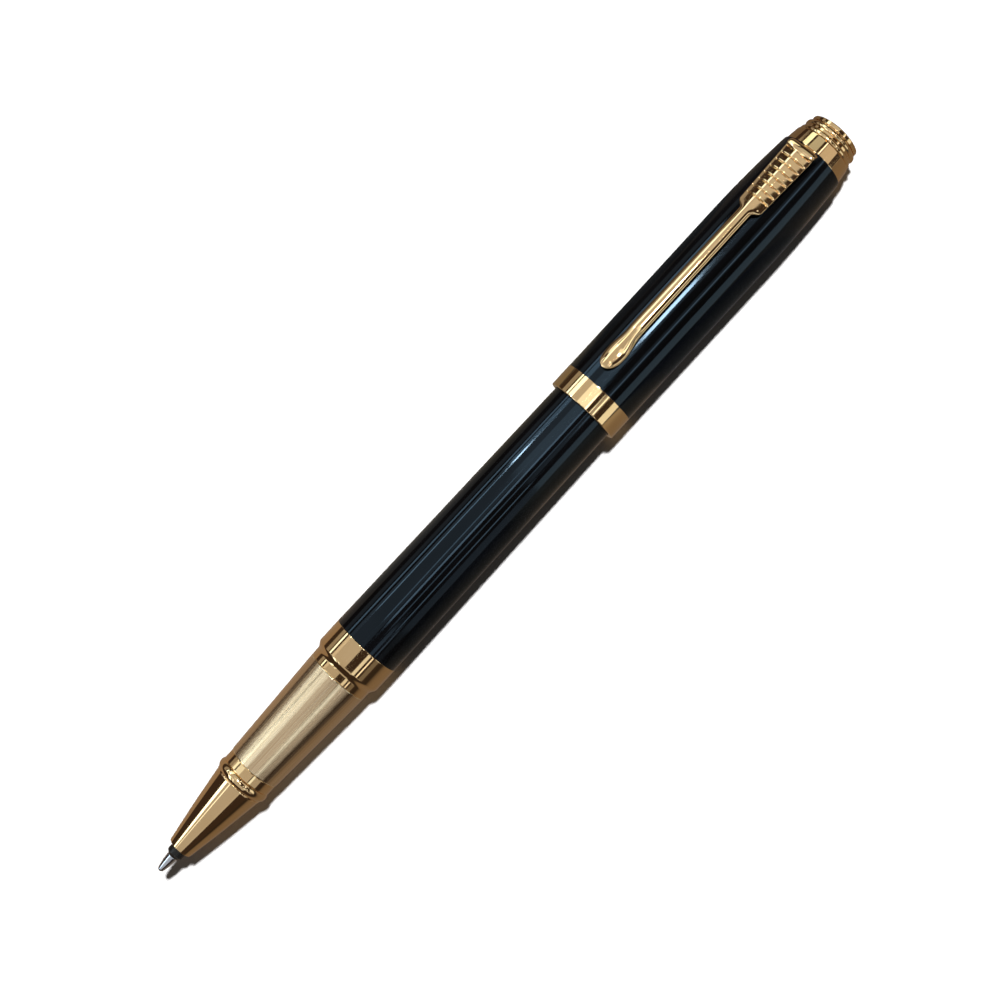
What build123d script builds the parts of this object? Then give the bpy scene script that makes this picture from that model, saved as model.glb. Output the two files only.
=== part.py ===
from build123d import *
import math
import os

# A posted rollerball pen: the cap sits on the barrel's tail. Millimetres.
# The pen lies along X, writing tip at -X and cap end at +X, clip side up.
# The origin is on the table under the pen's mid-length.
# Outlines are drawn on PEN_PLANE: the distance from the writing tip, then the distance from the pen's axis.

os.makedirs("parts", exist_ok=True)

# ---- Driving sizes: lengths along the pen, from the writing tip back ----
point_length = 3.00
nose_exposed = 1.66
nose_cone_length = 13.28
bead_ring_width = 1.60
neck_ring_width = 1.65
grip_length = 18.65
rear_neck_width = 1.20
flare_length = 1.24
collar_band_width = 3.92
barrel_length = 75.0
posted_depth = 27.09
cap_band_width = 3.85
cap_tube_length = 47.23
cap_taper_length = 15.5
finial_base_length = 2.45
finial_bead_width = 0.98
finial_groove_width = 0.31
finial_second_bead_width = 0.83
finial_second_groove_width = 0.24
finial_button_height = 1.49

# ---- Driving sizes: outside radii ----
ball_radius = 0.35
point_rim_radius = 0.45
point_base_radius = 0.88
refill_nose_radius = 1.34
refill_shoulder_radius = 2.0
refill_radius = 3.05
nose_cone_front_radius = 1.96
nose_cone_rear_radius = 4.06
nose_cone_bulge = 0.09
bead_ring_radius = 4.48
neck_ring_radius = 4.27
grip_front_radius = 4.34
grip_rear_radius = 5.14
rear_neck_radius = 5.13
collar_radius = 5.70
barrel_front_radius = 5.69
barrel_taper = 0.0085
cap_band_proud = 0.03
cap_tube_radius = 6.06
cap_top_radius = 5.40
finial_base_step = 0.18
finial_base_end_radius = 4.93
finial_bead_radius = 4.75
finial_second_bead_radius = 4.60
finial_groove_radius = 4.37
finial_button_radius = 4.20

# ---- Driving sizes: walls and fits ----
press_fit = 0.01
running_fit = 0.05
ball_fit = 0.02
seat_gap = 0.02
barrel_bore_radius = 4.50
barrel_bush_radius = 4.93
cap_wall = 0.40
cap_mouth_step = 0.20
refill_wall = 0.29
core_bore_radius = 3.20
core_ring_seat_radius = 3.60
core_body_radius = 3.94
screw_radius = 1.50

# ---- Driving sizes: the section's thread ----
thread_pitch = 1.0
thread_length = 5.6
thread_root_radius = 3.78
thread_crest_radius = 4.18
thread_tooth_root = 0.52
thread_tooth_crest = 0.24

# ---- Driving sizes: clip ----
clip_gap = 0.69
clip_thickness = 0.85
clip_foot_lift = 0.08
clip_foot_from_mouth = 6.35
clip_foot_length = 6.7
clip_foot_width = 3.2
clip_stem_width = 2.4
clip_stem_end_width = 2.05
clip_head_width = 4.2
clip_root_width = 5.0
clip_head_length = 12.0
clip_shoulder_length = 1.2
clip_end_gap = 0.60
clip_tab_thickness = 1.15
clip_tab_width = 2.4
clip_rib_count = 8
clip_rib_spacing = 1.28
clip_rib_width = 0.32
clip_rib_depth = 0.12
clip_rib_margin = 0.6
clip_rib_from_root = 1.6
clip_play = 0.12

# ---- Stations along the pen, from the writing tip ----
x_nose = point_length
x_cone = x_nose + nose_exposed
x_bead_ring = x_cone + nose_cone_length
x_neck_ring = x_bead_ring + bead_ring_width
x_grip = x_neck_ring + neck_ring_width
x_rear_neck = x_grip + grip_length
x_flare = x_rear_neck + rear_neck_width
x_collar_band = x_flare + flare_length
x_collar_end = x_collar_band + collar_band_width
x_barrel = x_collar_end + seat_gap
x_barrel_end = x_barrel + barrel_length
x_cap = x_barrel_end - posted_depth
x_cap_tube = x_cap + cap_band_width
x_cap_taper = x_cap_tube + cap_tube_length - cap_taper_length
x_finial = x_cap_tube + cap_tube_length
x_finial_knob = x_finial + finial_base_length
x_first_groove = x_finial_knob + finial_bead_width
x_second_bead = x_first_groove + finial_groove_width
x_second_groove = x_second_bead + finial_second_bead_width
x_button = x_second_groove + finial_second_groove_width
pen_length = x_button + finial_button_height

# ---- Radii that follow the cap tube ----
cap_band_radius = cap_tube_radius + cap_band_proud
finial_base_radius = cap_top_radius - finial_base_step
axis_height = cap_band_radius

PEN_PLANE = Plane(origin=(-pen_length / 2, 0, axis_height), x_dir=(1, 0, 0), z_dir=(0, -1, 0))
TOP_PLANE = Plane(origin=(-pen_length / 2, 0, axis_height), x_dir=(1, 0, 0), z_dir=(0, 0, 1))
PEN_AXIS = Axis((0, 0, axis_height), (1, 0, 0))


def at(x, y=0.0, z=0.0):
    """The point x from the writing tip, y to the side of the axis and z above it."""
    return (x - pen_length / 2, y, axis_height + z)


def barrel_radius_at(x):
    """Outside radius of the barrel's long taper."""
    return barrel_front_radius - barrel_taper * (x - x_barrel)


def cap_radius_at(x):
    """Outside radius of the cap tube, straight and then a tangent arc down to the finial."""
    if x < x_cap_taper:
        return cap_tube_radius
    return cap_tube_radius - cap_arc_radius + math.sqrt(cap_arc_radius**2 - (x - x_cap_taper) ** 2)


cap_taper_drop = cap_tube_radius - cap_top_radius
cap_arc_radius = (cap_taper_length**2 + cap_taper_drop**2) / (2 * cap_taper_drop)


def cap_bore_at(x):
    """Radius of the cap tube's bore along the taper, a wall's thickness inside the outer arc."""
    return cap_tube_radius - cap_arc_radius + math.sqrt((cap_arc_radius - cap_wall) ** 2 - (x - x_cap_taper) ** 2)


def turned(points):
    """A solid of revolution about the pen's axis, from a closed outline of (x, radius) points."""
    with BuildPart() as piece:
        with BuildSketch(PEN_PLANE):
            with BuildLine():
                Polyline(*points, close=True)
            make_face()
        revolve(axis=PEN_AXIS)
    return piece.part


# ==== Refill ====

# Tip ball: sits in the point's socket and stands out in front of its rim
with BuildPart() as tip_ball:
    with Locations(at(ball_radius)):
        Sphere(ball_radius)

# Refill point: an ogive with a round socket, an ink channel and a shank held by the nose
point_rim_x = 0.2
point_shank_radius = 0.62
point_shank_end = x_nose + 5.0
ink_channel_radius = 0.22
socket_radius = ball_radius + ball_fit
with BuildPart() as refill_point:
    with BuildSketch(PEN_PLANE):
        with BuildLine():
            rim = Line((point_rim_x, 0), (point_rim_x, point_rim_radius))
            ogive = TangentArc((x_nose, point_base_radius), rim @ 1, tangent=(-1, 0.03))
            Polyline(
                rim @ 0,
                (point_shank_end, 0),
                (point_shank_end, point_shank_radius),
                (x_nose, point_shank_radius),
                (x_nose, point_base_radius),
            )
        make_face()
    revolve(axis=PEN_AXIS)
    with Locations(at(ball_radius)):
        Sphere(socket_radius, mode=Mode.SUBTRACT)
    with BuildSketch(Plane(origin=at(ball_radius), z_dir=(1, 0, 0))):
        Circle(ink_channel_radius)
    extrude(amount=point_shank_end, mode=Mode.SUBTRACT)

# Refill nose: the black front of the refill, with a chamfered shoulder and a spigot in the tube
nose_chamfer = 0.50
nose_step_x = x_cone + 7.9
refill_tube_x = x_neck_ring + 3.4
nose_collar_length = 1.0
nose_spigot_length = 6.0
refill_bore_radius = refill_radius - refill_wall
wick_radius = 0.50
nose_collar_x = refill_tube_x - nose_collar_length
nose_end_x = refill_tube_x + nose_spigot_length
with BuildPart() as refill_nose:
    add(
        turned(
            [
                (x_nose, point_shank_radius + press_fit),
                (x_nose, point_base_radius + 0.04),
                (x_nose + nose_chamfer, refill_nose_radius),
                (nose_step_x, refill_nose_radius),
                (nose_step_x + 0.5, refill_shoulder_radius),
                (nose_collar_x, refill_shoulder_radius),
                (nose_collar_x, refill_radius),
                (refill_tube_x, refill_radius),
                (refill_tube_x, refill_bore_radius - press_fit),
                (nose_end_x, refill_bore_radius - press_fit),
                (nose_end_x, wick_radius + press_fit),
                (point_shank_end, wick_radius + press_fit),
                (point_shank_end, point_shank_radius + press_fit),
            ]
        )
    )

# Ink wick: a fibre rod from the point's shank into the filler
wick_reach = 7.0
wick_end_x = nose_end_x + wick_reach
with BuildPart() as ink_wick:
    add(
        turned(
            [
                (point_shank_end, 0),
                (point_shank_end, wick_radius),
                (wick_end_x, wick_radius),
                (wick_end_x, 0),
            ]
        )
    )

# Refill tube and its end plug, which takes the spring
refill_length = 110.9
plug_flange = 0.9
plug_spigot = 1.6
plug_boss_radius = 1.7
plug_boss_length = 1.5
refill_tube_end = refill_length - plug_flange
with BuildPart() as refill_tube:
    add(
        turned(
            [
                (refill_tube_x, refill_bore_radius),
                (refill_tube_x, refill_radius),
                (refill_tube_end, refill_radius),
                (refill_tube_end, refill_bore_radius),
            ]
        )
    )

with BuildPart() as refill_end_plug:
    add(
        turned(
            [
                (refill_tube_end - plug_spigot, 0),
                (refill_tube_end - plug_spigot, refill_bore_radius - press_fit),
                (refill_tube_end, refill_bore_radius - press_fit),
                (refill_tube_end, refill_radius),
                (refill_length, refill_radius),
                (refill_length, plug_boss_radius),
                (refill_length + plug_boss_length - 0.3, plug_boss_radius),
                (refill_length + plug_boss_length, plug_boss_radius - 0.3),
                (refill_length + plug_boss_length, 0),
            ]
        )
    )

# Ink filler: the fibre rod that fills the tube, bored at the front for the wick
filler_radius = refill_bore_radius - 0.1
filler_end_x = refill_tube_end - plug_spigot
with BuildPart() as ink_filler:
    add(
        turned(
            [
                (nose_end_x, wick_radius + press_fit),
                (nose_end_x, filler_radius),
                (filler_end_x, filler_radius),
                (filler_end_x, 0),
                (wick_end_x, 0),
                (wick_end_x, wick_radius + press_fit),
            ]
        )
    )

# ==== Section ====

# Nose cone: slightly convex, bored for the refill's nose, socketed for the core's spigot
nose_bore_radius = refill_nose_radius + running_fit
shoulder_bore_radius = refill_shoulder_radius + running_fit
core_spigot_radius = 3.18
core_spigot_length = 2.1
core_spigot_x = x_bead_ring - core_spigot_length
cone_middle = (
    (x_cone + x_bead_ring) / 2,
    (nose_cone_front_radius + nose_cone_rear_radius) / 2 + nose_cone_bulge,
)
with BuildPart() as nose_cone:
    with BuildSketch(PEN_PLANE):
        with BuildLine():
            ThreePointArc(
                (x_cone, nose_cone_front_radius), cone_middle, (x_bead_ring, nose_cone_rear_radius)
            )
            Polyline(
                (x_bead_ring, nose_cone_rear_radius),
                (x_bead_ring, core_spigot_radius + press_fit),
                (core_spigot_x, core_spigot_radius + press_fit),
                (core_spigot_x, shoulder_bore_radius),
                (nose_step_x - 0.1, shoulder_bore_radius),
                (nose_step_x - 0.6, nose_bore_radius),
                (x_cone, nose_bore_radius),
                (x_cone, nose_cone_front_radius),
            )
        make_face()
    revolve(axis=PEN_AXIS)
    cone_mouth = nose_cone.edges().filter_by(GeomType.CIRCLE).group_by(Axis.X)[0].sort_by(SortBy.RADIUS)[-1]
    fillet(cone_mouth, radius=0.12)

# Bead ring: half round, on the core behind the nose cone
bead_base_radius = nose_cone_rear_radius + 0.04
with BuildPart() as bead_ring:
    with BuildSketch(PEN_PLANE):
        with BuildLine():
            bead = ThreePointArc(
                (x_bead_ring, bead_base_radius),
                (x_bead_ring + bead_ring_width / 2, bead_ring_radius),
                (x_neck_ring, bead_base_radius),
            )
            Polyline(
                bead @ 1,
                (x_neck_ring, core_ring_seat_radius + press_fit),
                (x_bead_ring, core_ring_seat_radius + press_fit),
                bead @ 0,
            )
        make_face()
    revolve(axis=PEN_AXIS)

# Front neck ring: the narrow polished band in front of the grip
with BuildPart() as front_neck_ring:
    add(
        turned(
            [
                (x_neck_ring, core_ring_seat_radius + press_fit),
                (x_neck_ring, neck_ring_radius - 0.1),
                (x_neck_ring + 0.1, neck_ring_radius),
                (x_grip, neck_ring_radius),
                (x_grip, core_ring_seat_radius + press_fit),
            ]
        )
    )

# Grip sleeve: the satin taper, with a bright chamfered rim at each end
grip_rim = 0.15
with BuildPart() as grip_sleeve:
    add(
        turned(
            [
                (x_grip, core_body_radius + press_fit),
                (x_grip, grip_front_radius - grip_rim),
                (x_grip + grip_rim, grip_front_radius),
                (x_rear_neck - grip_rim, grip_rear_radius),
                (x_rear_neck, grip_rear_radius - grip_rim),
                (x_rear_neck, core_body_radius + press_fit),
            ]
        )
    )

# Section collar: the neck that the cap snaps on, the flare that stops the cap, and the polished band
core_flange_length = 2.0
core_flange_radius = 4.45
core_flange_x = x_collar_end - core_flange_length
collar_edge = 0.12
flare_middle = ((x_flare + x_collar_band) / 2, (rear_neck_radius + collar_radius) / 2)
with BuildPart() as section_collar:
    with BuildSketch(PEN_PLANE):
        with BuildLine():
            TangentArc((x_flare, rear_neck_radius), flare_middle, tangent=(1, 0))
            TangentArc((x_collar_band, collar_radius), flare_middle, tangent=(-1, 0))
            Polyline(
                (x_collar_band, collar_radius),
                (x_collar_end - collar_edge, collar_radius),
                (x_collar_end, collar_radius - collar_edge),
                (x_collar_end, core_flange_radius + press_fit),
                (core_flange_x, core_flange_radius + press_fit),
                (core_flange_x, core_body_radius + press_fit),
                (x_rear_neck, core_body_radius + press_fit),
                (x_rear_neck, rear_neck_radius),
                (x_flare, rear_neck_radius),
            )
        make_face()
    revolve(axis=PEN_AXIS)

# Section core: carries the nose cone and the rings, and screws into the barrel
thread_start = x_collar_end + 1.0
core_end_x = thread_start + thread_length + 1.4
core_seat_x = nose_collar_x - seat_gap
tooth_sink = 0.06


def tooth(path, axis_centre, tip_side, crest_reach):
    """A thread tooth's section across the start of its helix: tip_side is 1 for a tooth that points out."""
    start = path @ 0
    outward = (start - Vector(*axis_centre)).normalized()
    outward = Vector(0, outward.Y, outward.Z).normalized()
    plane = Plane(origin=start, x_dir=outward, z_dir=path % 0)
    with BuildSketch(plane) as outline:
        with BuildLine():
            Polyline(
                (-tip_side * tooth_sink, -thread_tooth_root / 2),
                (tip_side * crest_reach, -thread_tooth_crest / 2),
                (tip_side * crest_reach, thread_tooth_crest / 2),
                (-tip_side * tooth_sink, thread_tooth_root / 2),
                close=True,
            )
        make_face()
    return outline.sketch


with BuildPart() as section_core:
    add(
        turned(
            [
                (core_spigot_x, shoulder_bore_radius),
                (core_spigot_x, core_spigot_radius),
                (x_bead_ring, core_spigot_radius),
                (x_bead_ring, core_ring_seat_radius),
                (x_grip, core_ring_seat_radius),
                (x_grip, core_body_radius),
                (core_flange_x, core_body_radius),
                (core_flange_x, core_flange_radius),
                (x_collar_end, core_flange_radius),
                (x_collar_end, thread_root_radius),
                (core_end_x - 0.3, thread_root_radius),
                (core_end_x, thread_root_radius - 0.3),
                (core_end_x, core_bore_radius),
                (core_seat_x, core_bore_radius),
                (core_seat_x, shoulder_bore_radius),
            ]
        )
    )
    with BuildLine() as core_helix:
        Helix(thread_pitch, thread_length, thread_root_radius, center=at(thread_start), direction=(1, 0, 0))
    sweep(
        sections=tooth(core_helix.line, at(thread_start), 1, thread_crest_radius - thread_root_radius),
        path=core_helix.line,
        is_frenet=True,
    )

# ==== Barrel ====

# Barrel tube: lacquered taper, closed at the tail but for the plug's hole
tail_round_length = 4.86
tail_face_radius = 3.60
tail_plug_height = 0.60
tail_wall = 3.8
tail_hole_radius = 1.60
bush_length = 9.0
x_tail_round = x_barrel_end - tail_plug_height - tail_round_length
x_tail_face = x_barrel_end - tail_plug_height
x_tail_wall = x_tail_face - tail_wall
x_bush = x_barrel + 0.25
x_bush_end = x_bush + bush_length
with BuildPart() as barrel_tube:
    with BuildSketch(PEN_PLANE):
        with BuildLine():
            side = Line((x_barrel, barrel_front_radius), (x_tail_round, barrel_radius_at(x_tail_round)))
            tail = TangentArc(side @ 1, (x_tail_face, tail_face_radius), tangent=side % 1)
            Polyline(
                tail @ 1,
                (x_tail_face, tail_hole_radius),
                (x_tail_wall, tail_hole_radius),
                (x_tail_wall, barrel_bore_radius),
                (x_bush_end, barrel_bore_radius),
                (x_bush_end, barrel_bush_radius),
                (x_barrel, barrel_bush_radius),
                side @ 0,
            )
        make_face()
    revolve(axis=PEN_AXIS)

# Barrel bush: pressed into the barrel's mouth, with the thread that the section screws into
bush_root_radius = thread_crest_radius + 0.12
bush_crest_radius = thread_root_radius + 0.12
bush_thread_start = thread_start + 0.5 * thread_pitch
bush_thread_length = thread_length
bush_entry = 0.3
with BuildPart() as barrel_bush:
    add(
        turned(
            [
                (x_bush, bush_root_radius + bush_entry),
                (x_bush, barrel_bush_radius - press_fit),
                (x_bush_end, barrel_bush_radius - press_fit),
                (x_bush_end, bush_root_radius),
                (x_bush + bush_entry, bush_root_radius),
            ]
        )
    )
    with BuildLine() as bush_helix:
        Helix(
            thread_pitch,
            bush_thread_length,
            bush_root_radius,
            center=at(bush_thread_start),
            direction=(1, 0, 0),
        )
    sweep(
        sections=tooth(bush_helix.line, at(bush_thread_start), -1, bush_root_radius - bush_crest_radius),
        path=bush_helix.line,
        is_frenet=True,
    )

# Tail insert: a cup that seats the spring against the barrel's end wall
insert_length = 3.6
spring_pocket_radius = 2.75
spring_pocket_depth = 2.8
x_insert = x_tail_wall - insert_length
x_spring_seat = x_insert + spring_pocket_depth
with BuildPart() as tail_insert:
    add(
        turned(
            [
                (x_insert, spring_pocket_radius + 0.3),
                (x_insert, barrel_bore_radius - press_fit),
                (x_tail_wall, barrel_bore_radius - press_fit),
                (x_tail_wall, 0),
                (x_spring_seat, 0),
                (x_spring_seat, spring_pocket_radius),
                (x_insert + 0.3, spring_pocket_radius),
            ]
        )
    )

# Refill spring: between the refill's end plug and the tail insert
spring_wire_radius = 0.22
spring_radius = 2.20
spring_turns = 4.5
spring_start = refill_length + spring_wire_radius + seat_gap
spring_length = x_spring_seat - seat_gap - spring_wire_radius - spring_start
with BuildPart() as refill_spring:
    with BuildLine() as spring_path:
        Helix(
            spring_length / spring_turns,
            spring_length,
            spring_radius,
            center=at(spring_start),
            direction=(1, 0, 0),
        )
    with BuildSketch(Plane(origin=spring_path.line @ 0, z_dir=spring_path.line % 0)):
        Circle(spring_wire_radius)
    sweep(path=spring_path.line, is_frenet=True)

# Tail plug: the gold disc at the barrel's end, with a stud through the end wall
tail_stud_length = tail_wall - 0.3
tail_dome = 0.35
with BuildPart() as tail_plug:
    with BuildSketch(PEN_PLANE):
        with BuildLine():
            Polyline(
                (x_barrel_end, 0),
                (x_tail_face - tail_stud_length, 0),
                (x_tail_face - tail_stud_length, tail_hole_radius - press_fit),
                (x_tail_face, tail_hole_radius - press_fit),
                (x_tail_face, tail_face_radius),
                (x_barrel_end - tail_dome, tail_face_radius),
            )
            TangentArc((x_barrel_end, 0), (x_barrel_end - tail_dome, tail_face_radius), tangent=(0, 1))
        make_face()
    revolve(axis=PEN_AXIS)

# ==== Cap ====

# Cap tube: straight, then a long tangent arc in to the finial; stepped at the mouth for the band
cap_bore_radius = cap_tube_radius - cap_wall
cap_top_bore_radius = cap_bore_at(x_finial)
band_lip = 0.50
x_tube_mouth = x_cap + band_lip
clip_root_x = x_finial - clip_end_gap
clip_slot_x = clip_root_x - clip_tab_thickness - clip_play
with BuildPart() as cap_tube:
    with BuildSketch(PEN_PLANE):
        with BuildLine():
            mouth = Polyline(
                (x_cap_taper, cap_bore_radius),
                (x_tube_mouth, cap_bore_radius),
                (x_tube_mouth, cap_tube_radius - cap_mouth_step),
                (x_cap_tube, cap_tube_radius - cap_mouth_step),
                (x_cap_tube, cap_tube_radius),
                (x_cap_taper, cap_tube_radius),
            )
            outer = TangentArc(mouth @ 1, (x_finial, cap_top_radius), tangent=(1, 0))
            inner = TangentArc(mouth @ 0, (x_finial, cap_top_bore_radius), tangent=(1, 0))
            Line(outer @ 1, inner @ 1)
        make_face()
    revolve(axis=PEN_AXIS)
    with BuildSketch(TOP_PLANE):
        with Locations(((clip_slot_x + x_finial) / 2, 0)):
            Rectangle(x_finial - clip_slot_x, clip_tab_width + 2 * clip_play)
    extrude(amount=2 * cap_tube_radius, mode=Mode.SUBTRACT)

# Cap band: the polished ring on the mouth, with a lip over the tube's end
band_lip_radius = barrel_radius_at(x_cap) + 0.12
band_edge = 0.12
with BuildPart() as cap_band:
    add(
        turned(
            [
                (x_cap, band_lip_radius),
                (x_cap, cap_band_radius - band_edge),
                (x_cap + band_edge, cap_band_radius),
                (x_cap_tube, cap_band_radius),
                (x_cap_tube, cap_tube_radius - cap_mouth_step + press_fit),
                (x_tube_mouth, cap_tube_radius - cap_mouth_step + press_fit),
                (x_tube_mouth, band_lip_radius),
            ]
        )
    )

# Clutch sleeve: a thin slotted liner whose bumps grip the barrel, or the section's neck
clutch_length = 12.0
clutch_wall = 0.26
clutch_bump_length = 1.1
clutch_slot_count = 6
clutch_slot_width = 0.7
clutch_slot_length = 7.0
clutch_outer_radius = cap_bore_radius - press_fit
clutch_inner_radius = clutch_outer_radius - clutch_wall
clutch_bump_radius = barrel_radius_at(x_tube_mouth) + 0.03
x_clutch_end = x_tube_mouth + clutch_length
with BuildPart() as clutch_sleeve:
    add(
        turned(
            [
                (x_tube_mouth, clutch_bump_radius),
                (x_tube_mouth, clutch_outer_radius),
                (x_clutch_end, clutch_outer_radius),
                (x_clutch_end, clutch_inner_radius),
                (x_tube_mouth + clutch_bump_length, clutch_inner_radius),
                (x_tube_mouth + clutch_bump_length / 2, clutch_bump_radius),
            ]
        )
    )
    with BuildSketch(Plane(origin=at(x_tube_mouth), z_dir=(1, 0, 0))):
        with PolarLocations((clutch_inner_radius + clutch_outer_radius) / 2, clutch_slot_count):
            Rectangle(4 * clutch_wall, clutch_slot_width)
    extrude(amount=clutch_slot_length, mode=Mode.SUBTRACT)

# Inner cap: a cup that closes over the tip when the cap is on the front
inner_cap_gap = 0.30
inner_cap_flange = 4.5
inner_cap_bore_radius = 3.60
inner_cap_wall = 0.95
inner_cap_depth = 18.3
inner_cap_floor = 1.0
x_inner_cap = x_barrel_end + inner_cap_gap
x_inner_floor = x_inner_cap + inner_cap_depth
x_inner_end = x_inner_floor + inner_cap_floor
with BuildPart() as inner_cap:
    add(
        turned(
            [
                (x_inner_cap, inner_cap_bore_radius + 0.4),
                (x_inner_cap, cap_bore_radius - press_fit),
                (x_inner_cap + inner_cap_flange, cap_bore_radius - press_fit),
                (x_inner_cap + inner_cap_flange, inner_cap_bore_radius + inner_cap_wall),
                (x_inner_end, inner_cap_bore_radius + inner_cap_wall),
                (x_inner_end, screw_radius + press_fit),
                (x_inner_floor, screw_radius + press_fit),
                (x_inner_floor, inner_cap_bore_radius),
                (x_inner_cap + 0.4, inner_cap_bore_radius),
            ]
        )
    )

# Cap spacer and clip mount: the stack between the inner cap and the finial
stack_clearance = 0.02
clip_mount_length = 1.8
finial_spigot_length = 0.45
x_finial_spigot = x_finial - finial_spigot_length
x_clip_mount = x_finial_spigot - clip_mount_length
spacer_radius = cap_bore_at(x_clip_mount) - stack_clearance
clip_mount_radius = cap_bore_at(x_finial_spigot) - stack_clearance
finial_spigot_radius = cap_top_bore_radius - stack_clearance
with BuildPart() as cap_spacer:
    add(
        turned(
            [
                (x_inner_end, screw_radius + press_fit),
                (x_inner_end, spacer_radius),
                (x_clip_mount, spacer_radius),
                (x_clip_mount, screw_radius + press_fit),
            ]
        )
    )

clip_tab_depth = 1.55
clip_tab_foot = cap_radius_at(clip_root_x) - clip_tab_depth
with BuildPart() as clip_mount:
    add(
        turned(
            [
                (x_clip_mount, screw_radius + press_fit),
                (x_clip_mount, clip_mount_radius),
                (x_finial_spigot, clip_mount_radius),
                (x_finial_spigot, screw_radius + press_fit),
            ]
        )
    )
    with BuildSketch(TOP_PLANE.offset(clip_tab_foot - clip_play)):
        with Locations(((clip_slot_x + x_finial) / 2, 0)):
            Rectangle(x_finial - clip_slot_x, clip_tab_width + 2 * clip_play)
    extrude(amount=2 * cap_tube_radius, mode=Mode.SUBTRACT)

# Finial base: the tapered ring that closes the cap tube
with BuildPart() as finial_base:
    add(
        turned(
            [
                (x_finial_spigot, screw_radius + press_fit),
                (x_finial_spigot, finial_spigot_radius),
                (x_finial, finial_spigot_radius),
                (x_finial, finial_base_radius),
                (x_finial_knob, finial_base_end_radius),
                (x_finial_knob, screw_radius + press_fit),
            ]
        )
    )

# Finial knob: two beads, each with a groove behind it
bead_side = 0.35
screw_end_x = x_second_groove - 0.3
button_bore_radius = 1.20
button_spigot_length = 0.95
with BuildPart() as finial_knob:
    with BuildSketch(PEN_PLANE):
        with BuildLine():
            first = ThreePointArc(
                (x_finial_knob, finial_bead_radius - bead_side),
                ((x_finial_knob + x_first_groove) / 2, finial_bead_radius),
                (x_first_groove, finial_groove_radius),
            )
            groove = Line(first @ 1, (x_second_bead, finial_groove_radius))
            second = ThreePointArc(
                groove @ 1,
                ((x_second_bead + x_second_groove) / 2, finial_second_bead_radius),
                (x_second_groove, finial_second_bead_radius - bead_side),
            )
            Polyline(
                second @ 1,
                (x_second_groove, finial_button_radius - 0.3),
                (x_button, finial_button_radius - 0.3),
                (x_button, button_bore_radius),
                (x_button - button_spigot_length, button_bore_radius),
                (x_button - button_spigot_length, screw_radius + press_fit),
                (x_finial_knob, screw_radius + press_fit),
                first @ 0,
            )
        make_face()
    revolve(axis=PEN_AXIS)

# Finial button: the domed end
button_side = 0.60
with BuildPart() as finial_button:
    with BuildSketch(PEN_PLANE):
        with BuildLine():
            Polyline(
                (pen_length, 0),
                (x_button - button_spigot_length, 0),
                (x_button - button_spigot_length, button_bore_radius - press_fit),
                (x_button, button_bore_radius - press_fit),
                (x_button, finial_button_radius),
                (x_button + button_side, finial_button_radius),
            )
            TangentArc((pen_length, 0), (x_button + button_side, finial_button_radius), tangent=(0, 1))
        make_face()
    revolve(axis=PEN_AXIS)

# Cap screw: slotted head inside the inner cap, shank through the stack into the knob
screw_head_radius = 2.6
screw_head_height = 1.4
screw_slot_width = 0.6
screw_slot_depth = 0.6
x_screw_head = x_inner_floor - screw_head_height
x_screw_tip = x_button - button_spigot_length
with BuildPart() as cap_screw:
    add(
        turned(
            [
                (x_screw_head, 0),
                (x_screw_head, screw_head_radius - 0.2),
                (x_screw_head + 0.2, screw_head_radius),
                (x_inner_floor, screw_head_radius),
                (x_inner_floor, screw_radius),
                (x_screw_tip - 0.3, screw_radius),
                (x_screw_tip, screw_radius - 0.3),
                (x_screw_tip, 0),
            ]
        )
    )
    with BuildSketch(Plane(origin=at(x_screw_head), z_dir=(1, 0, 0))):
        Rectangle(screw_slot_width, 2 * screw_head_radius + 1)
    extrude(amount=screw_slot_depth, mode=Mode.SUBTRACT)

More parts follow.
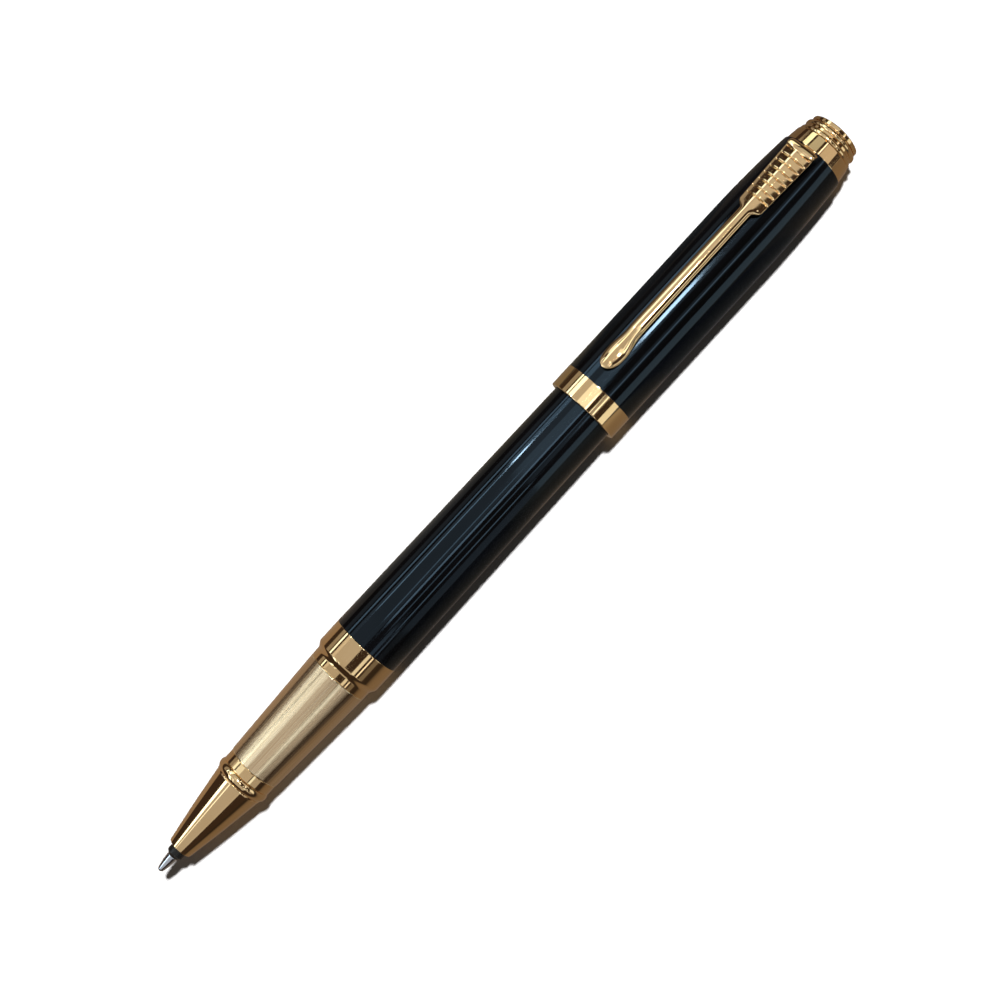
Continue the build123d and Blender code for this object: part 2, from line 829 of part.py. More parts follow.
# ==== Clip ====
# Side outline swept straight across, cut to the outline seen from above; straight cross ribs on the head.
x_clip_foot = x_cap + clip_foot_from_mouth
x_stem = x_clip_foot + clip_foot_length
x_head = clip_root_x - clip_head_length
x_shoulder = x_head - clip_shoulder_length
clip_under = cap_tube_radius + clip_gap
clip_top = clip_under + clip_thickness
foot_under = cap_tube_radius + clip_foot_lift
foot_widest = 0.6
foot_middle = x_clip_foot + foot_widest * clip_foot_length
foot_thickness = 0.80
foot_tip_rise = 0.55
foot_tip_thickness = 0.48
clip_tab_x = clip_root_x - clip_tab_thickness
clip_inner_bend = 0.4
clip_outer_bend = 0.7
with BuildPart() as clip:
    with BuildSketch(PEN_PLANE):
        with BuildLine():
            foot_bottom = Spline(
                (x_clip_foot, foot_under + foot_tip_rise),
                (foot_middle, foot_under),
                (x_stem + 1.5, clip_under - 0.12),
                tangents=[(1, -0.5), (1, 0.055)],
            )
            foot_top = Spline(
                (x_clip_foot, foot_under + foot_tip_rise + foot_tip_thickness),
                (foot_middle, foot_under + foot_thickness),
                (x_stem + 1.5, clip_top - 0.12),
                tangents=[(1, -0.3), (1, 0.055)],
            )
            Line(foot_bottom @ 0, foot_top @ 0)
            Polyline(foot_bottom @ 1, (x_head, clip_under), (clip_tab_x - clip_inner_bend, clip_under))
            inside_bend = TangentArc(
                (clip_tab_x - clip_inner_bend, clip_under), (clip_tab_x, clip_under - clip_inner_bend), tangent=(1, 0)
            )
            Polyline(inside_bend @ 1, (clip_tab_x, clip_tab_foot), (clip_root_x, clip_tab_foot))
            Polyline(foot_top @ 1, (x_head, clip_top), (clip_root_x - clip_outer_bend, clip_top))
            outside_bend = TangentArc(
                (clip_root_x - clip_outer_bend, clip_top), (clip_root_x, clip_top - clip_outer_bend), tangent=(1, 0)
            )
            Line(outside_bend @ 1, (clip_root_x, clip_tab_foot))
        make_face()
    extrude(amount=clip_root_width, both=True)
    with BuildSketch(TOP_PLANE):
        with BuildLine():
            half = Spline(
                (x_clip_foot, 0),
                (foot_middle, clip_foot_width / 2),
                (x_stem, clip_stem_width / 2),
                tangents=[(0, 1), (1, 0)],
            )
            Polyline(
                half @ 1,
                (x_shoulder, clip_stem_end_width / 2),
                (x_head, clip_head_width / 2),
                (clip_root_x, clip_root_width / 2),
                (clip_root_x, 0),
                half @ 0,
            )
        make_face()
        mirror(about=Plane.XZ)
    extrude(amount=clip_top + 1, mode=Mode.INTERSECT)
    tab_side = clip_root_width - clip_tab_width
    with BuildSketch(TOP_PLANE):
        with Locations(
            (clip_root_x - 1.5, clip_tab_width / 2 + tab_side / 2),
            (clip_root_x - 1.5, -clip_tab_width / 2 - tab_side / 2),
        ):
            Rectangle(4, tab_side)
    extrude(amount=clip_under - 0.25, mode=Mode.SUBTRACT)
    with BuildSketch(TOP_PLANE.offset(clip_top - clip_rib_depth)):
        with Locations((clip_root_x - clip_rib_from_root - clip_rib_spacing * (clip_rib_count - 1) / 2, 0)):
            with GridLocations(clip_rib_spacing, 1, clip_rib_count, 1):
                Rectangle(clip_rib_width, clip_head_width - 2 * clip_rib_margin)
    extrude(amount=1, mode=Mode.SUBTRACT)

# ==== Files ====
pieces = {
    "tip_ball": tip_ball,
    "refill_point": refill_point,
    "refill_nose": refill_nose,
    "ink_wick": ink_wick,
    "refill_tube": refill_tube,
    "refill_end_plug": refill_end_plug,
    "ink_filler": ink_filler,
    "nose_cone": nose_cone,
    "bead_ring": bead_ring,
    "front_neck_ring": front_neck_ring,
    "grip_sleeve": grip_sleeve,
    "section_collar": section_collar,
    "section_core": section_core,
    "barrel_tube": barrel_tube,
    "barrel_bush": barrel_bush,
    "tail_insert": tail_insert,
    "refill_spring": refill_spring,
    "tail_plug": tail_plug,
    "cap_tube": cap_tube,
    "cap_band": cap_band,
    "clutch_sleeve": clutch_sleeve,
    "inner_cap": inner_cap,
    "cap_spacer": cap_spacer,
    "clip_mount": clip_mount,
    "finial_base": finial_base,
    "finial_knob": finial_knob,
    "finial_button": finial_button,
    "cap_screw": cap_screw,
    "clip": clip,
}
for label, piece in pieces.items():
    piece.part.label = label
    export_step(piece.part, f"parts/{label}.step")
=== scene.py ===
"""A posted rollerball pen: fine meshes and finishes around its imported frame.

The frame gives every place: the pen lies along X with its writing tip at -X, and its clip stands up
towards +Z. Sizes in the classes of pieces are millimetres, and MM turns them into the frame's metres.
Turned pieces are outlines of (place along the pen, distance from its axis, corner radius) carried round
the pen's axis.
"""

import logging
import math
from dataclasses import dataclass
from enum import Enum

import bpy
import numpy as np
from mathutils import Matrix, Vector


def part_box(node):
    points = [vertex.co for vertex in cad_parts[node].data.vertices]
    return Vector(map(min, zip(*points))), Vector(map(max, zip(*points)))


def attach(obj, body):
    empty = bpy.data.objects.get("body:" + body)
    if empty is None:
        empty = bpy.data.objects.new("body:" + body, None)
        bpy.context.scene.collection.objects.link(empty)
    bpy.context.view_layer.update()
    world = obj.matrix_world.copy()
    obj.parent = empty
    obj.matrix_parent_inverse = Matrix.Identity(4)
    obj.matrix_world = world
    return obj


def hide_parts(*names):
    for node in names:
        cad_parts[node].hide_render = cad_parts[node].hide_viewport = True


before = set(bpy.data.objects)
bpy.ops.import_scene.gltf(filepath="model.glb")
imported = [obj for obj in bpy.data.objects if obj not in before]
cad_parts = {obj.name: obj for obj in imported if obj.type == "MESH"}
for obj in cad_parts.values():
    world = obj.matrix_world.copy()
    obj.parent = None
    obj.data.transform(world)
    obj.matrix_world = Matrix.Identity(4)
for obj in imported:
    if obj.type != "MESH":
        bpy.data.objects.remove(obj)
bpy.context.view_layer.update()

MM = 0.001
AROUND = 224
FILLET_STEPS = 6
FILLET_SHARE = 0.45
NEARLY_STRAIGHT = 0.01
SKIRT = 0.06
PLAY = 0.01
TINY = 1e-12
SHARP_ANGLE = math.radians(38)

logging.basicConfig(level=logging.INFO, format="%(message)s")
log = logging.getLogger("pen")

Colour = tuple[float, float, float]
Point = tuple[float, float]
Socket = bpy.types.NodeSocket


# ---- Places read from the frame ----


@dataclass(frozen=True)
class Span:
    """Where a node lies: its ends along the pen, and its outside radius, in millimetres."""

    start: float
    end: float
    radius: float


def span(node: str) -> Span:
    """Measure a node of the frame.

    Args:
        node: the node's name in the frame.

    Returns:
        The node's ends and outside radius in millimetres.
    """
    low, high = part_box(node)
    return Span(low.x / MM, high.x / MM, (high.y - low.y) / 2 / MM)


def axis_height() -> float:
    """Height of the pen's axis above the table, in millimetres: the middle of the cap band."""
    low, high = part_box("cap_band")
    return (low.z + high.z) / 2 / MM


# ---- Outlines ----


def arc(start: Point, through: Point, end: Point, steps: int) -> np.ndarray:
    """Points on the circle through three points, from the first to the last.

    The centre is where the bisectors of the two chords meet, and the angle goes evenly from end to end.

    Args:
        start: the first point, as (x, radius).
        through: a point between the ends.
        end: the last point.
        steps: how many spans the arc is cut into.

    Returns:
        An array of (x, radius, 0) rows with both ends.
    """
    a, b, c = (np.array(p, float) for p in (start, through, end))
    sides = 2 * np.array([b - a, c - b])
    centre = np.linalg.solve(sides, np.array([b @ b - a @ a, c @ c - b @ b]))
    angles = [math.atan2(*(p - centre)[::-1]) for p in (a, b, c)]
    turn = (angles[2] - angles[0]) % math.tau
    if (angles[1] - angles[0]) % math.tau > turn:
        turn -= math.tau
    t = angles[0] + turn * np.linspace(0, 1, steps + 1)
    radius = np.linalg.norm(a - centre)
    return np.stack([centre[0] + radius * np.cos(t), centre[1] + radius * np.sin(t), 0 * t], axis=1)


def corners(*points: tuple[float, ...]) -> np.ndarray:
    """Corner rows of (x, radius, fillet), where a missing fillet is 0."""
    return np.array([(*p, 0.0) if len(p) == 2 else p for p in points], float)


@dataclass
class Outline:
    """A turned piece's outline, with its corners rounded and a short flat skirt beside each rounded corner.

    A closed outline goes round a ring's wall. An open one starts and ends on the axis.
    """

    rows: np.ndarray
    closed: bool = True

    def rounded(self) -> tuple[np.ndarray, np.ndarray]:
        """Round each corner with an arc.

        The arc's centre is fillet / sin(half the corner's angle) along the corner's bisector, and its points
        are spherical blends of the two radii that meet the sides.

        Returns:
            The points as (x, radius) rows, and for each one 1 on a rounded corner and 0 elsewhere.
        """
        place, fillet = self.rows[:, :2], self.rows[:, 2].copy()
        before = np.roll(place, 1, axis=0) - place
        after = np.roll(place, -1, axis=0) - place
        reach = np.minimum(np.linalg.norm(before, axis=1), np.linalg.norm(after, axis=1))
        a = before / np.maximum(np.linalg.norm(before, axis=1, keepdims=True), TINY)
        b = after / np.maximum(np.linalg.norm(after, axis=1, keepdims=True), TINY)
        half = np.arccos(np.clip((a * b).sum(axis=1), -1, 1)) / 2
        if not self.closed:
            fillet[[0, -1]] = 0
        straight = half > math.pi / 2 - NEARLY_STRAIGHT
        fillet = np.where(straight, 0, np.minimum(fillet, FILLET_SHARE * reach * np.tan(half)))
        bisector = a + b
        bisector /= np.maximum(np.linalg.norm(bisector, axis=1, keepdims=True), TINY)
        centre = place + bisector * (fillet / np.maximum(np.sin(half), 1e-6))[:, None]
        leave = (fillet / np.maximum(np.tan(half), 1e-6))[:, None]
        first = place + a * leave - centre
        last = place + b * leave - centre
        sweep = np.maximum(math.pi - 2 * half, 1e-6)[:, None]
        t = np.linspace(0, 1, FILLET_STEPS + 1)[None, :]
        near = (np.sin((1 - t) * sweep) / np.sin(sweep))[..., None] * first[:, None]
        far = (np.sin(t * sweep) / np.sin(sweep))[..., None] * last[:, None]
        blended = centre[:, None] + near + far
        keep = np.ones(blended.shape[:2], bool)
        sharp = fillet <= 0
        keep[sharp, 1:] = False
        blended[sharp, 0] = place[sharp]
        worn = np.broadcast_to((~sharp)[:, None], keep.shape)
        return blended[keep], worn[keep].astype(float)

    def skirted(self) -> tuple[np.ndarray, np.ndarray]:
        """Add a point a skirt's width in from both ends of each long side, which keeps its shading flat.

        Returns:
            The points as (x, radius) rows, and the worn value of each.
        """
        points, worn = self.rounded()
        following = np.roll(points, -1, axis=0)
        side = following - points
        length = np.linalg.norm(side, axis=1)
        long = length > 4 * SKIRT
        if not self.closed:
            long[-1] = False
        step = side / np.maximum(length, TINY)[:, None] * SKIRT
        where = np.flatnonzero(long)
        added = np.stack([points[where] + step[where], following[where] - step[where]], axis=1)
        points = np.insert(points, np.repeat(where + 1, 2), added.reshape(-1, 2), axis=0)
        worn = np.insert(worn, np.repeat(where + 1, 2), 0.0)
        return points, worn


# ---- Meshes ----


def put_mesh(
    name: str, grid: np.ndarray, worn: np.ndarray, loop_rows: bool, lay: np.ndarray | None = None
) -> bpy.types.Object:
    """Put a grid of points into a mesh as quads, with a fan of triangles at an end row that is one point.

    Faces are turned outwards: the volume that they enclose, a sum of a . (b x c) / 6, is made positive.

    Args:
        name: the piece's name.
        grid: points in metres, as rows by columns by three.
        worn: the worn value of each point, as rows by columns.
        loop_rows: the last row joins the first. The last column always joins the first.
        lay: where each point lies on the piece unrolled to an even radius; its own place when missing.

    Returns:
        The new object, linked, smooth, with sharp edges where faces meet at a steep angle.
    """
    rows, columns = grid.shape[:2]
    index = np.arange(rows * columns).reshape(rows, columns)
    poles = [] if loop_rows else [r for r in (0, rows - 1) if np.ptp(grid[r], axis=0).max() < 1e-9]
    for r in poles:
        index[r] = index[r, 0]
    down = np.roll(index, -1, axis=0) if loop_rows else index[1:]
    here = index if loop_rows else index[:-1]
    right_here, right_down = np.roll(here, -1, axis=1), np.roll(down, -1, axis=1)
    quads = np.stack([here, down, right_down, right_here], axis=-1).reshape(-1, 4)
    top = quads[:, 0] == quads[:, 3]
    bottom = quads[:, 1] == quads[:, 2]
    faces = [quads[~top & ~bottom], quads[top][:, [0, 1, 2]], quads[bottom][:, [0, 1, 3]]]
    points = grid.reshape(-1, 3)
    used = np.unique(np.concatenate([f.ravel() for f in faces]))
    renumber = np.zeros(len(points), int)
    renumber[used] = np.arange(len(used))
    faces = [renumber[f] for f in faces]
    points, shade = points[used], worn.reshape(-1)[used]
    flat = (grid if lay is None else lay).reshape(-1, 3)[used]
    volume = sum(
        float(np.einsum("ij,ij->i", points[f[:, 0]], np.cross(points[f[:, k]], points[f[:, k + 1]])).sum())
        for f in faces
        for k in range(1, f.shape[1] - 1)
    )
    if volume < 0:
        faces = [f[:, ::-1] for f in faces]
    mesh = bpy.data.meshes.new(name)
    mesh.vertices.add(len(points))
    mesh.vertices.foreach_set("co", points.astype(np.float32).ravel())
    loops = np.concatenate([f.ravel() for f in faces])
    sizes = np.concatenate([np.full(len(f), f.shape[1]) for f in faces])
    mesh.loops.add(len(loops))
    mesh.loops.foreach_set("vertex_index", loops.astype(np.int32))
    mesh.polygons.add(len(sizes))
    mesh.polygons.foreach_set("loop_start", (np.cumsum(sizes) - sizes).astype(np.int32))
    mesh.update(calc_edges=True)
    mesh.polygons.foreach_set("use_smooth", np.ones(len(sizes), bool))
    mesh.set_sharp_from_angle(angle=SHARP_ANGLE)
    attributes = mesh.attributes
    attributes.new("worn", "FLOAT", "POINT").data.foreach_set("value", shade.astype(np.float32))
    attributes.new("lay", "FLOAT_VECTOR", "POINT").data.foreach_set("vector", flat.astype(np.float32).ravel())
    piece = bpy.data.objects.new(name, mesh)
    bpy.context.scene.collection.objects.link(piece)
    return piece


def turned(name: str, rows: np.ndarray, closed: bool = True) -> bpy.types.Object:
    """Carry an outline round the pen's axis: y = radius * cos(angle), z = axis height + radius * sin(angle).

    Args:
        name: the piece's name.
        rows: the outline's corner rows of (x, radius, fillet) in millimetres.
        closed: the outline is a ring's wall; otherwise it starts and ends on the axis.

    Returns:
        The new object.
    """
    points, worn = Outline(rows, closed).skirted()
    angle = np.arange(AROUND) / AROUND * math.tau
    x, radius = points[:, :1], points[:, 1:]
    even = radius.max() + 0 * radius
    grid, lay = (
        np.stack([x + 0 * angle[None], r * np.cos(angle), axis_height() + r * np.sin(angle)], axis=-1) * MM
        for r in (radius, even)
    )
    return put_mesh(name, grid, np.repeat(worn[:, None], AROUND, axis=1), closed, lay)


# ---- Node trees ----


@dataclass
class Wiring:
    """A thin hand on a node tree: adds nodes, joins sockets and sets values."""

    tree: bpy.types.NodeTree

    def add(self, kind: str, **settings: object) -> bpy.types.Node:
        """Add a node and set its properties.

        Args:
            kind: the node's type without its ShaderNode prefix.
            settings: properties of the node.

        Returns:
            The new node.
        """
        node = self.tree.nodes.new(kind if kind.startswith("Node") else "ShaderNode" + kind)
        for key, value in settings.items():
            setattr(node, key, value)
        return node

    def join(self, source: Socket, target: Socket) -> None:
        """Link one socket to another."""
        self.tree.links.new(source, target)

    def ranged(self, value: Socket, low: float, high: float, to: tuple[float, float]) -> Socket:
        """Map a value from low..high to a pair of numbers, clamped.

        Args:
            value: the socket to map.
            low: the value that gives the first number.
            high: the value that gives the second number.
            to: the pair of numbers.

        Returns:
            The mapped value's socket.
        """
        node = self.add("MapRange", clamp=True, interpolation_type="SMOOTHSTEP")
        self.join(value, node.inputs["Value"])
        for key, number in zip(("From Min", "From Max", "To Min", "To Max"), (low, high, *to)):
            node.inputs[key].default_value = number
        return node.outputs["Result"]

    def math(self, operation: str, first: Socket, second: object = None) -> Socket:
        """Do arithmetic on a socket and a socket or number.

        Args:
            operation: the Math node's operation.
            first: the first value's socket.
            second: the second value, as a socket or a number.

        Returns:
            The result's socket.
        """
        node = self.add("Math", operation=operation)
        self.join(first, node.inputs[0])
        if isinstance(second, (int, float)):
            node.inputs[1].default_value = second
        elif second is not None:
            self.join(second, node.inputs[1])
        return node.outputs[0]

    def mixed(self, factor: Socket, first: object, second: object) -> Socket:
        """Mix two colours, each a socket or an RGB triple.

        Args:
            factor: 0 gives the first colour and 1 the second.
            first: the first colour.
            second: the second colour.

        Returns:
            The mixed colour's socket.
        """
        node = self.add("Mix", data_type="RGBA")
        self.join(factor, node.inputs[0])
        for slot, colour in ((6, first), (7, second)):
            if isinstance(colour, tuple):
                node.inputs[slot].default_value = (*colour, 1.0)
            else:
                self.join(colour, node.inputs[slot])
        return node.outputs[2]


class Effect(Enum):
    """Surface effects that several finishes share, each a shader node group."""

    GRAIN = "stretched grain"
    SCRATCHES = "hairline scratches"
    WEAR = "worn edges"


def new_group(
    name: str, inputs: dict[str, object]
) -> tuple[bpy.types.ShaderNodeTree, Wiring, bpy.types.Node, bpy.types.Node]:
    """Start a shader node group that puts out one varying mask.

    Args:
        name: the group's name.
        inputs: each input's name and its default, a number or a vector.

    Returns:
        The group, its wiring, its input node and its output node.
    """
    group = bpy.data.node_groups.new(name, "ShaderNodeTree")
    for key, value in inputs.items():
        kind = "NodeSocketVector" if isinstance(value, tuple) else "NodeSocketFloat"
        group.interface.new_socket(key, in_out="INPUT", socket_type=kind).default_value = value
    group.interface.new_socket("Mask", in_out="OUTPUT", socket_type="NodeSocketFloat")
    wiring = Wiring(group)
    return group, wiring, wiring.add("NodeGroupInput"), wiring.add("NodeGroupOutput")


def grain_group() -> bpy.types.ShaderNodeTree:
    """Noise stretched by a scale along each axis, read where the material says.

    Returns:
        The group, whose mask goes from 0 to 1.
    """
    still = (0.0, 0.0, 0.0)
    group, w, given, out = new_group(
        Effect.GRAIN.value, {"Where": still, "Stretch": (1.0, 1.0, 1.0), "Detail": 3.0, "Offset": still}
    )
    mapping = w.add("Mapping")
    w.join(given.outputs["Where"], mapping.inputs["Vector"])
    w.join(given.outputs["Offset"], mapping.inputs["Location"])
    w.join(given.outputs["Stretch"], mapping.inputs["Scale"])
    noise = w.add("TexNoise")
    noise.inputs["Scale"].default_value = 1.0
    w.join(mapping.outputs["Vector"], noise.inputs["Vector"])
    w.join(given.outputs["Detail"], noise.inputs["Detail"])
    w.join(w.ranged(noise.outputs["Fac"], 0.3, 0.7, (0.0, 1.0)), out.inputs["Mask"])
    return group


def scratches_group() -> bpy.types.ShaderNodeTree:
    """Thin lines where noise, stretched along two slanted ways, passes through its middle value.

    Returns:
        The group, whose mask is 1 on a scratch.
    """
    group, w, given, out = new_group(
        Effect.SCRATCHES.value, {"Fineness": 900.0, "Length": 0.03, "Width": 0.012, "Amount": 0.5}
    )
    where = w.add("TexCoord")
    masks = []
    for slant, lift in ((0.35, 0.2), (-0.5, 0.9), (1.3, -0.4)):
        mapping = w.add("Mapping")
        mapping.inputs["Rotation"].default_value = (lift, slant * 0.5, slant)
        w.join(where.outputs["Object"], mapping.inputs["Vector"])
        along = w.add("CombineXYZ")
        w.join(w.math("MULTIPLY", given.outputs["Fineness"], given.outputs["Length"]), along.inputs[0])
        w.join(given.outputs["Fineness"], along.inputs[1])
        w.join(given.outputs["Fineness"], along.inputs[2])
        w.join(along.outputs[0], mapping.inputs["Scale"])
        noise = w.add("TexNoise")
        noise.inputs["Scale"].default_value = 1.0
        noise.inputs["Detail"].default_value = 1.0
        w.join(mapping.outputs["Vector"], noise.inputs["Vector"])
        off = w.math("ABSOLUTE", w.math("SUBTRACT", noise.outputs["Fac"], 0.5))
        line = w.math("LESS_THAN", off, given.outputs["Width"])
        patch = w.add("TexNoise")
        patch.inputs["Scale"].default_value = 140.0
        patch.inputs["Detail"].default_value = 2.0
        w.join(mapping.outputs["Vector"], patch.inputs["Vector"])
        masks.append(w.math("MULTIPLY", line, w.ranged(patch.outputs["Fac"], 0.45, 0.65, (0.0, 1.0))))
    both = w.math("MAXIMUM", w.math("MAXIMUM", masks[0], masks[1]), masks[2])
    w.join(w.math("MULTIPLY", both, given.outputs["Amount"]), out.inputs["Mask"])
    return group


def wear_group() -> bpy.types.ShaderNodeTree:
    """The piece's worn attribute, broken up by noise.

    Returns:
        The group, whose mask is 1 on a worn edge.
    """
    group, w, given, out = new_group(Effect.WEAR.value, {"Patch size": 1500.0, "Amount": 1.0})
    edge = w.add("Attribute", attribute_name="worn")
    where = w.add("TexCoord")
    noise = w.add("TexNoise")
    noise.inputs["Detail"].default_value = 4.0
    w.join(where.outputs["Object"], noise.inputs["Vector"])
    w.join(given.outputs["Patch size"], noise.inputs["Scale"])
    broken = w.math("MULTIPLY", edge.outputs["Fac"], w.ranged(noise.outputs["Fac"], 0.35, 0.6, (0.0, 1.0)))
    w.join(w.math("MULTIPLY", broken, given.outputs["Amount"]), out.inputs["Mask"])
    return group


MAKERS = {Effect.GRAIN: grain_group, Effect.SCRATCHES: scratches_group, Effect.WEAR: wear_group}


def effect(wiring: Wiring, kind: Effect, laid: bool = False, **values: object) -> Socket:
    """Place a shared effect in a material with its own values.

    Args:
        wiring: the material's wiring.
        kind: which effect.
        laid: read the effect on the unrolled piece rather than in its own coordinates.
        values: the effect's inputs by name, with _ for a space.

    Returns:
        The effect's mask.
    """
    group = bpy.data.node_groups.get(kind.value) or MAKERS[kind]()
    node = wiring.add("Group", node_tree=group)
    for key, value in values.items():
        node.inputs[key.replace("_", " ")].default_value = value
    if "Where" in node.inputs:
        place = wiring.add("Attribute", attribute_name="lay") if laid else wiring.add("TexCoord")
        wiring.join(place.outputs["Vector" if laid else "Object"], node.inputs["Where"])
    return node.outputs["Mask"]


# ---- Finishes ----


@dataclass(frozen=True)
class Finish:
    """A finish's plain values. Each kind of finish adds its own surface in dress()."""

    name: str
    slot: str
    colour: Colour
    second: Colour
    roughness: tuple[float, float] = (0.1, 0.2)
    metallic: float = 0.0

    def material(self) -> bpy.types.Material:
        """The finish's material, made once."""
        found = bpy.data.materials.get(self.name)
        if found:
            return found
        material = bpy.data.materials.new(self.name)
        material.use_nodes = True
        material.diffuse_color = (*self.colour, 1.0)
        wiring = Wiring(material.node_tree)
        shader = material.node_tree.nodes["Principled BSDF"]
        shader.inputs["Metallic"].default_value = self.metallic
        self.dress(wiring, shader)
        return material

    def dress(self, w: Wiring, shader: bpy.types.Node) -> None:
        """Wire the finish's surface. Each kind of finish has its own."""
        raise NotImplementedError

    def brighter(self, colour: Colour, times: float, more: float = 0.0) -> Colour:
        """A colour for worn edges: each channel times a number plus a number, at most 1."""
        return tuple(min(1.0, times * c + more) for c in colour)

    def bump(self, w: Wiring, shader: bpy.types.Node, height: Socket, strength: float, depth: float) -> None:
        """Feed a height to the shader's normal.

        Args:
            w: the material's wiring.
            shader: the Principled shader.
            height: the height's socket, from 0 to 1.
            strength: how strongly the bump shows.
            depth: how deep a height of 1 is, in millimetres.
        """
        node = w.add("Bump")
        node.inputs["Strength"].default_value = strength
        node.inputs["Distance"].default_value = depth * MM
        w.join(height, node.inputs["Height"])
        w.join(node.outputs["Normal"], shader.inputs["Normal"])


@dataclass(frozen=True)
class Lacquer(Finish):
    """Deep cool-black gloss lacquer with a faint orange peel and hairline scratches."""

    sheen: Colour = (0.50, 0.76, 1.0)

    def dress(self, w: Wiring, shader: bpy.types.Node) -> None:
        """Wire lacquer: colour clouds, hairlines that dull the gloss a little, and a fine rolling surface."""
        cloud = effect(w, Effect.GRAIN, Stretch=(60.0, 220.0, 220.0), Detail=4.0)
        scratch = effect(w, Effect.SCRATCHES, Fineness=1400.0, Length=0.02, Width=0.006, Amount=0.6)
        wear = effect(w, Effect.WEAR, Amount=0.5)
        body = w.mixed(cloud, self.colour, self.second)
        w.join(w.mixed(wear, body, self.brighter(self.second, 6)), shader.inputs["Base Color"])
        gloss = w.ranged(cloud, 0.0, 1.0, self.roughness)
        w.join(w.math("ADD", gloss, w.math("MULTIPLY", scratch, 0.12)), shader.inputs["Roughness"])
        shader.inputs["IOR"].default_value = 1.45
        shader.inputs["Specular Tint"].default_value = (*self.sheen, 1.0)
        peel = effect(w, Effect.GRAIN, Stretch=(500.0, 1100.0, 1100.0), Detail=1.5)
        self.bump(w, shader, w.math("ADD", peel, w.math("MULTIPLY", scratch, -0.5)), 0.06, 0.01)


@dataclass(frozen=True)
class Polished(Finish):
    """Polished metal with faint turning lines, soft handling clouds and hairline scratches."""

    lines: float = 0.06

    def dress(self, w: Wiring, shader: bpy.types.Node) -> None:
        """Wire polished metal: two tones in soft clouds, bright worn edges, turning lines round the pen."""
        cloud = effect(w, Effect.GRAIN, Stretch=(160.0, 160.0, 160.0), Detail=5.0)
        turning = effect(w, Effect.GRAIN, Stretch=(9000.0, 30.0, 30.0), Detail=3.0)
        scratch = effect(w, Effect.SCRATCHES, Fineness=1800.0, Length=0.02, Width=0.01, Amount=0.7)
        wear = effect(w, Effect.WEAR, Amount=0.8)
        body = w.mixed(w.math("MULTIPLY", cloud, 0.8), self.colour, self.second)
        w.join(w.mixed(wear, body, self.brighter(self.colour, 1.12, 0.03)), shader.inputs["Base Color"])
        gloss = w.ranged(w.math("MULTIPLY", w.math("ADD", cloud, turning), 0.5), 0.0, 1.0, self.roughness)
        w.join(w.math("ADD", gloss, w.math("MULTIPLY", scratch, 0.12)), shader.inputs["Roughness"])
        self.bump(w, shader, w.math("ADD", turning, w.math("MULTIPLY", scratch, -0.8)), self.lines, 0.01)


@dataclass(frozen=True)
class Satin(Finish):
    """Metal brushed along the pen: fine streaks in tone, gloss and height."""

    def dress(self, w: Wiring, shader: bpy.types.Node) -> None:
        """Wire satin metal: fine and broad streaks along the pen, with brighter worn rims."""
        fine = effect(w, Effect.GRAIN, laid=True, Stretch=(45.0, 7000.0, 7000.0), Detail=4.0)
        away = (3.0, 1.0, 7.0)
        broad = effect(w, Effect.GRAIN, laid=True, Stretch=(18.0, 1500.0, 1500.0), Detail=3.0, Offset=away)
        wear = effect(w, Effect.WEAR, Amount=0.9)
        streak = w.math("MULTIPLY", w.math("ADD", fine, broad), 0.5)
        body = w.mixed(streak, self.colour, self.second)
        w.join(w.mixed(wear, body, self.brighter(self.colour, 1.15, 0.04)), shader.inputs["Base Color"])
        low, high = self.roughness
        gloss = w.ranged(streak, 0.1, 0.9, (high, low))
        w.join(w.math("SUBTRACT", gloss, w.math("MULTIPLY", wear, 0.5 * low)), shader.inputs["Roughness"])
        self.bump(w, shader, streak, 0.9, 0.008)


@dataclass(frozen=True)
class Moulded(Finish):
    """Moulded plastic with a fine spark texture and soft shade changes."""

    def dress(self, w: Wiring, shader: bpy.types.Node) -> None:
        """Wire moulded plastic: cloudy tone, uneven gloss and a fine pebbled height."""
        cloud = effect(w, Effect.GRAIN, Stretch=(300.0, 300.0, 300.0), Detail=4.0)
        pebble = effect(w, Effect.GRAIN, Stretch=(6000.0, 6000.0, 6000.0), Detail=2.0)
        wear = effect(w, Effect.WEAR, Amount=0.6)
        body = w.mixed(cloud, self.colour, self.second)
        w.join(w.mixed(wear, body, self.brighter(self.second, 1.5, 0.03)), shader.inputs["Base Color"])
        w.join(w.ranged(pebble, 0.0, 1.0, self.roughness), shader.inputs["Roughness"])
        shader.inputs["Specular IOR Level"].default_value = 0.3
        self.bump(w, shader, pebble, 0.1, 0.01)


@dataclass(frozen=True)
class Fibre(Finish):
    """Bundled fibre, streaked along the pen and stained by ink."""

    def dress(self, w: Wiring, shader: bpy.types.Node) -> None:
        """Wire fibre: strands along the pen under soft stains."""
        strand = effect(w, Effect.GRAIN, Stretch=(60.0, 7000.0, 7000.0), Detail=5.0)
        stain = effect(w, Effect.GRAIN, Stretch=(120.0, 260.0, 260.0), Detail=4.0)
        inked = w.math("MULTIPLY", strand, stain)
        w.join(w.mixed(inked, self.colour, self.second), shader.inputs["Base Color"])
        w.join(w.ranged(strand, 0.0, 1.0, self.roughness), shader.inputs["Roughness"])
        self.bump(w, shader, strand, 0.6, 0.04)


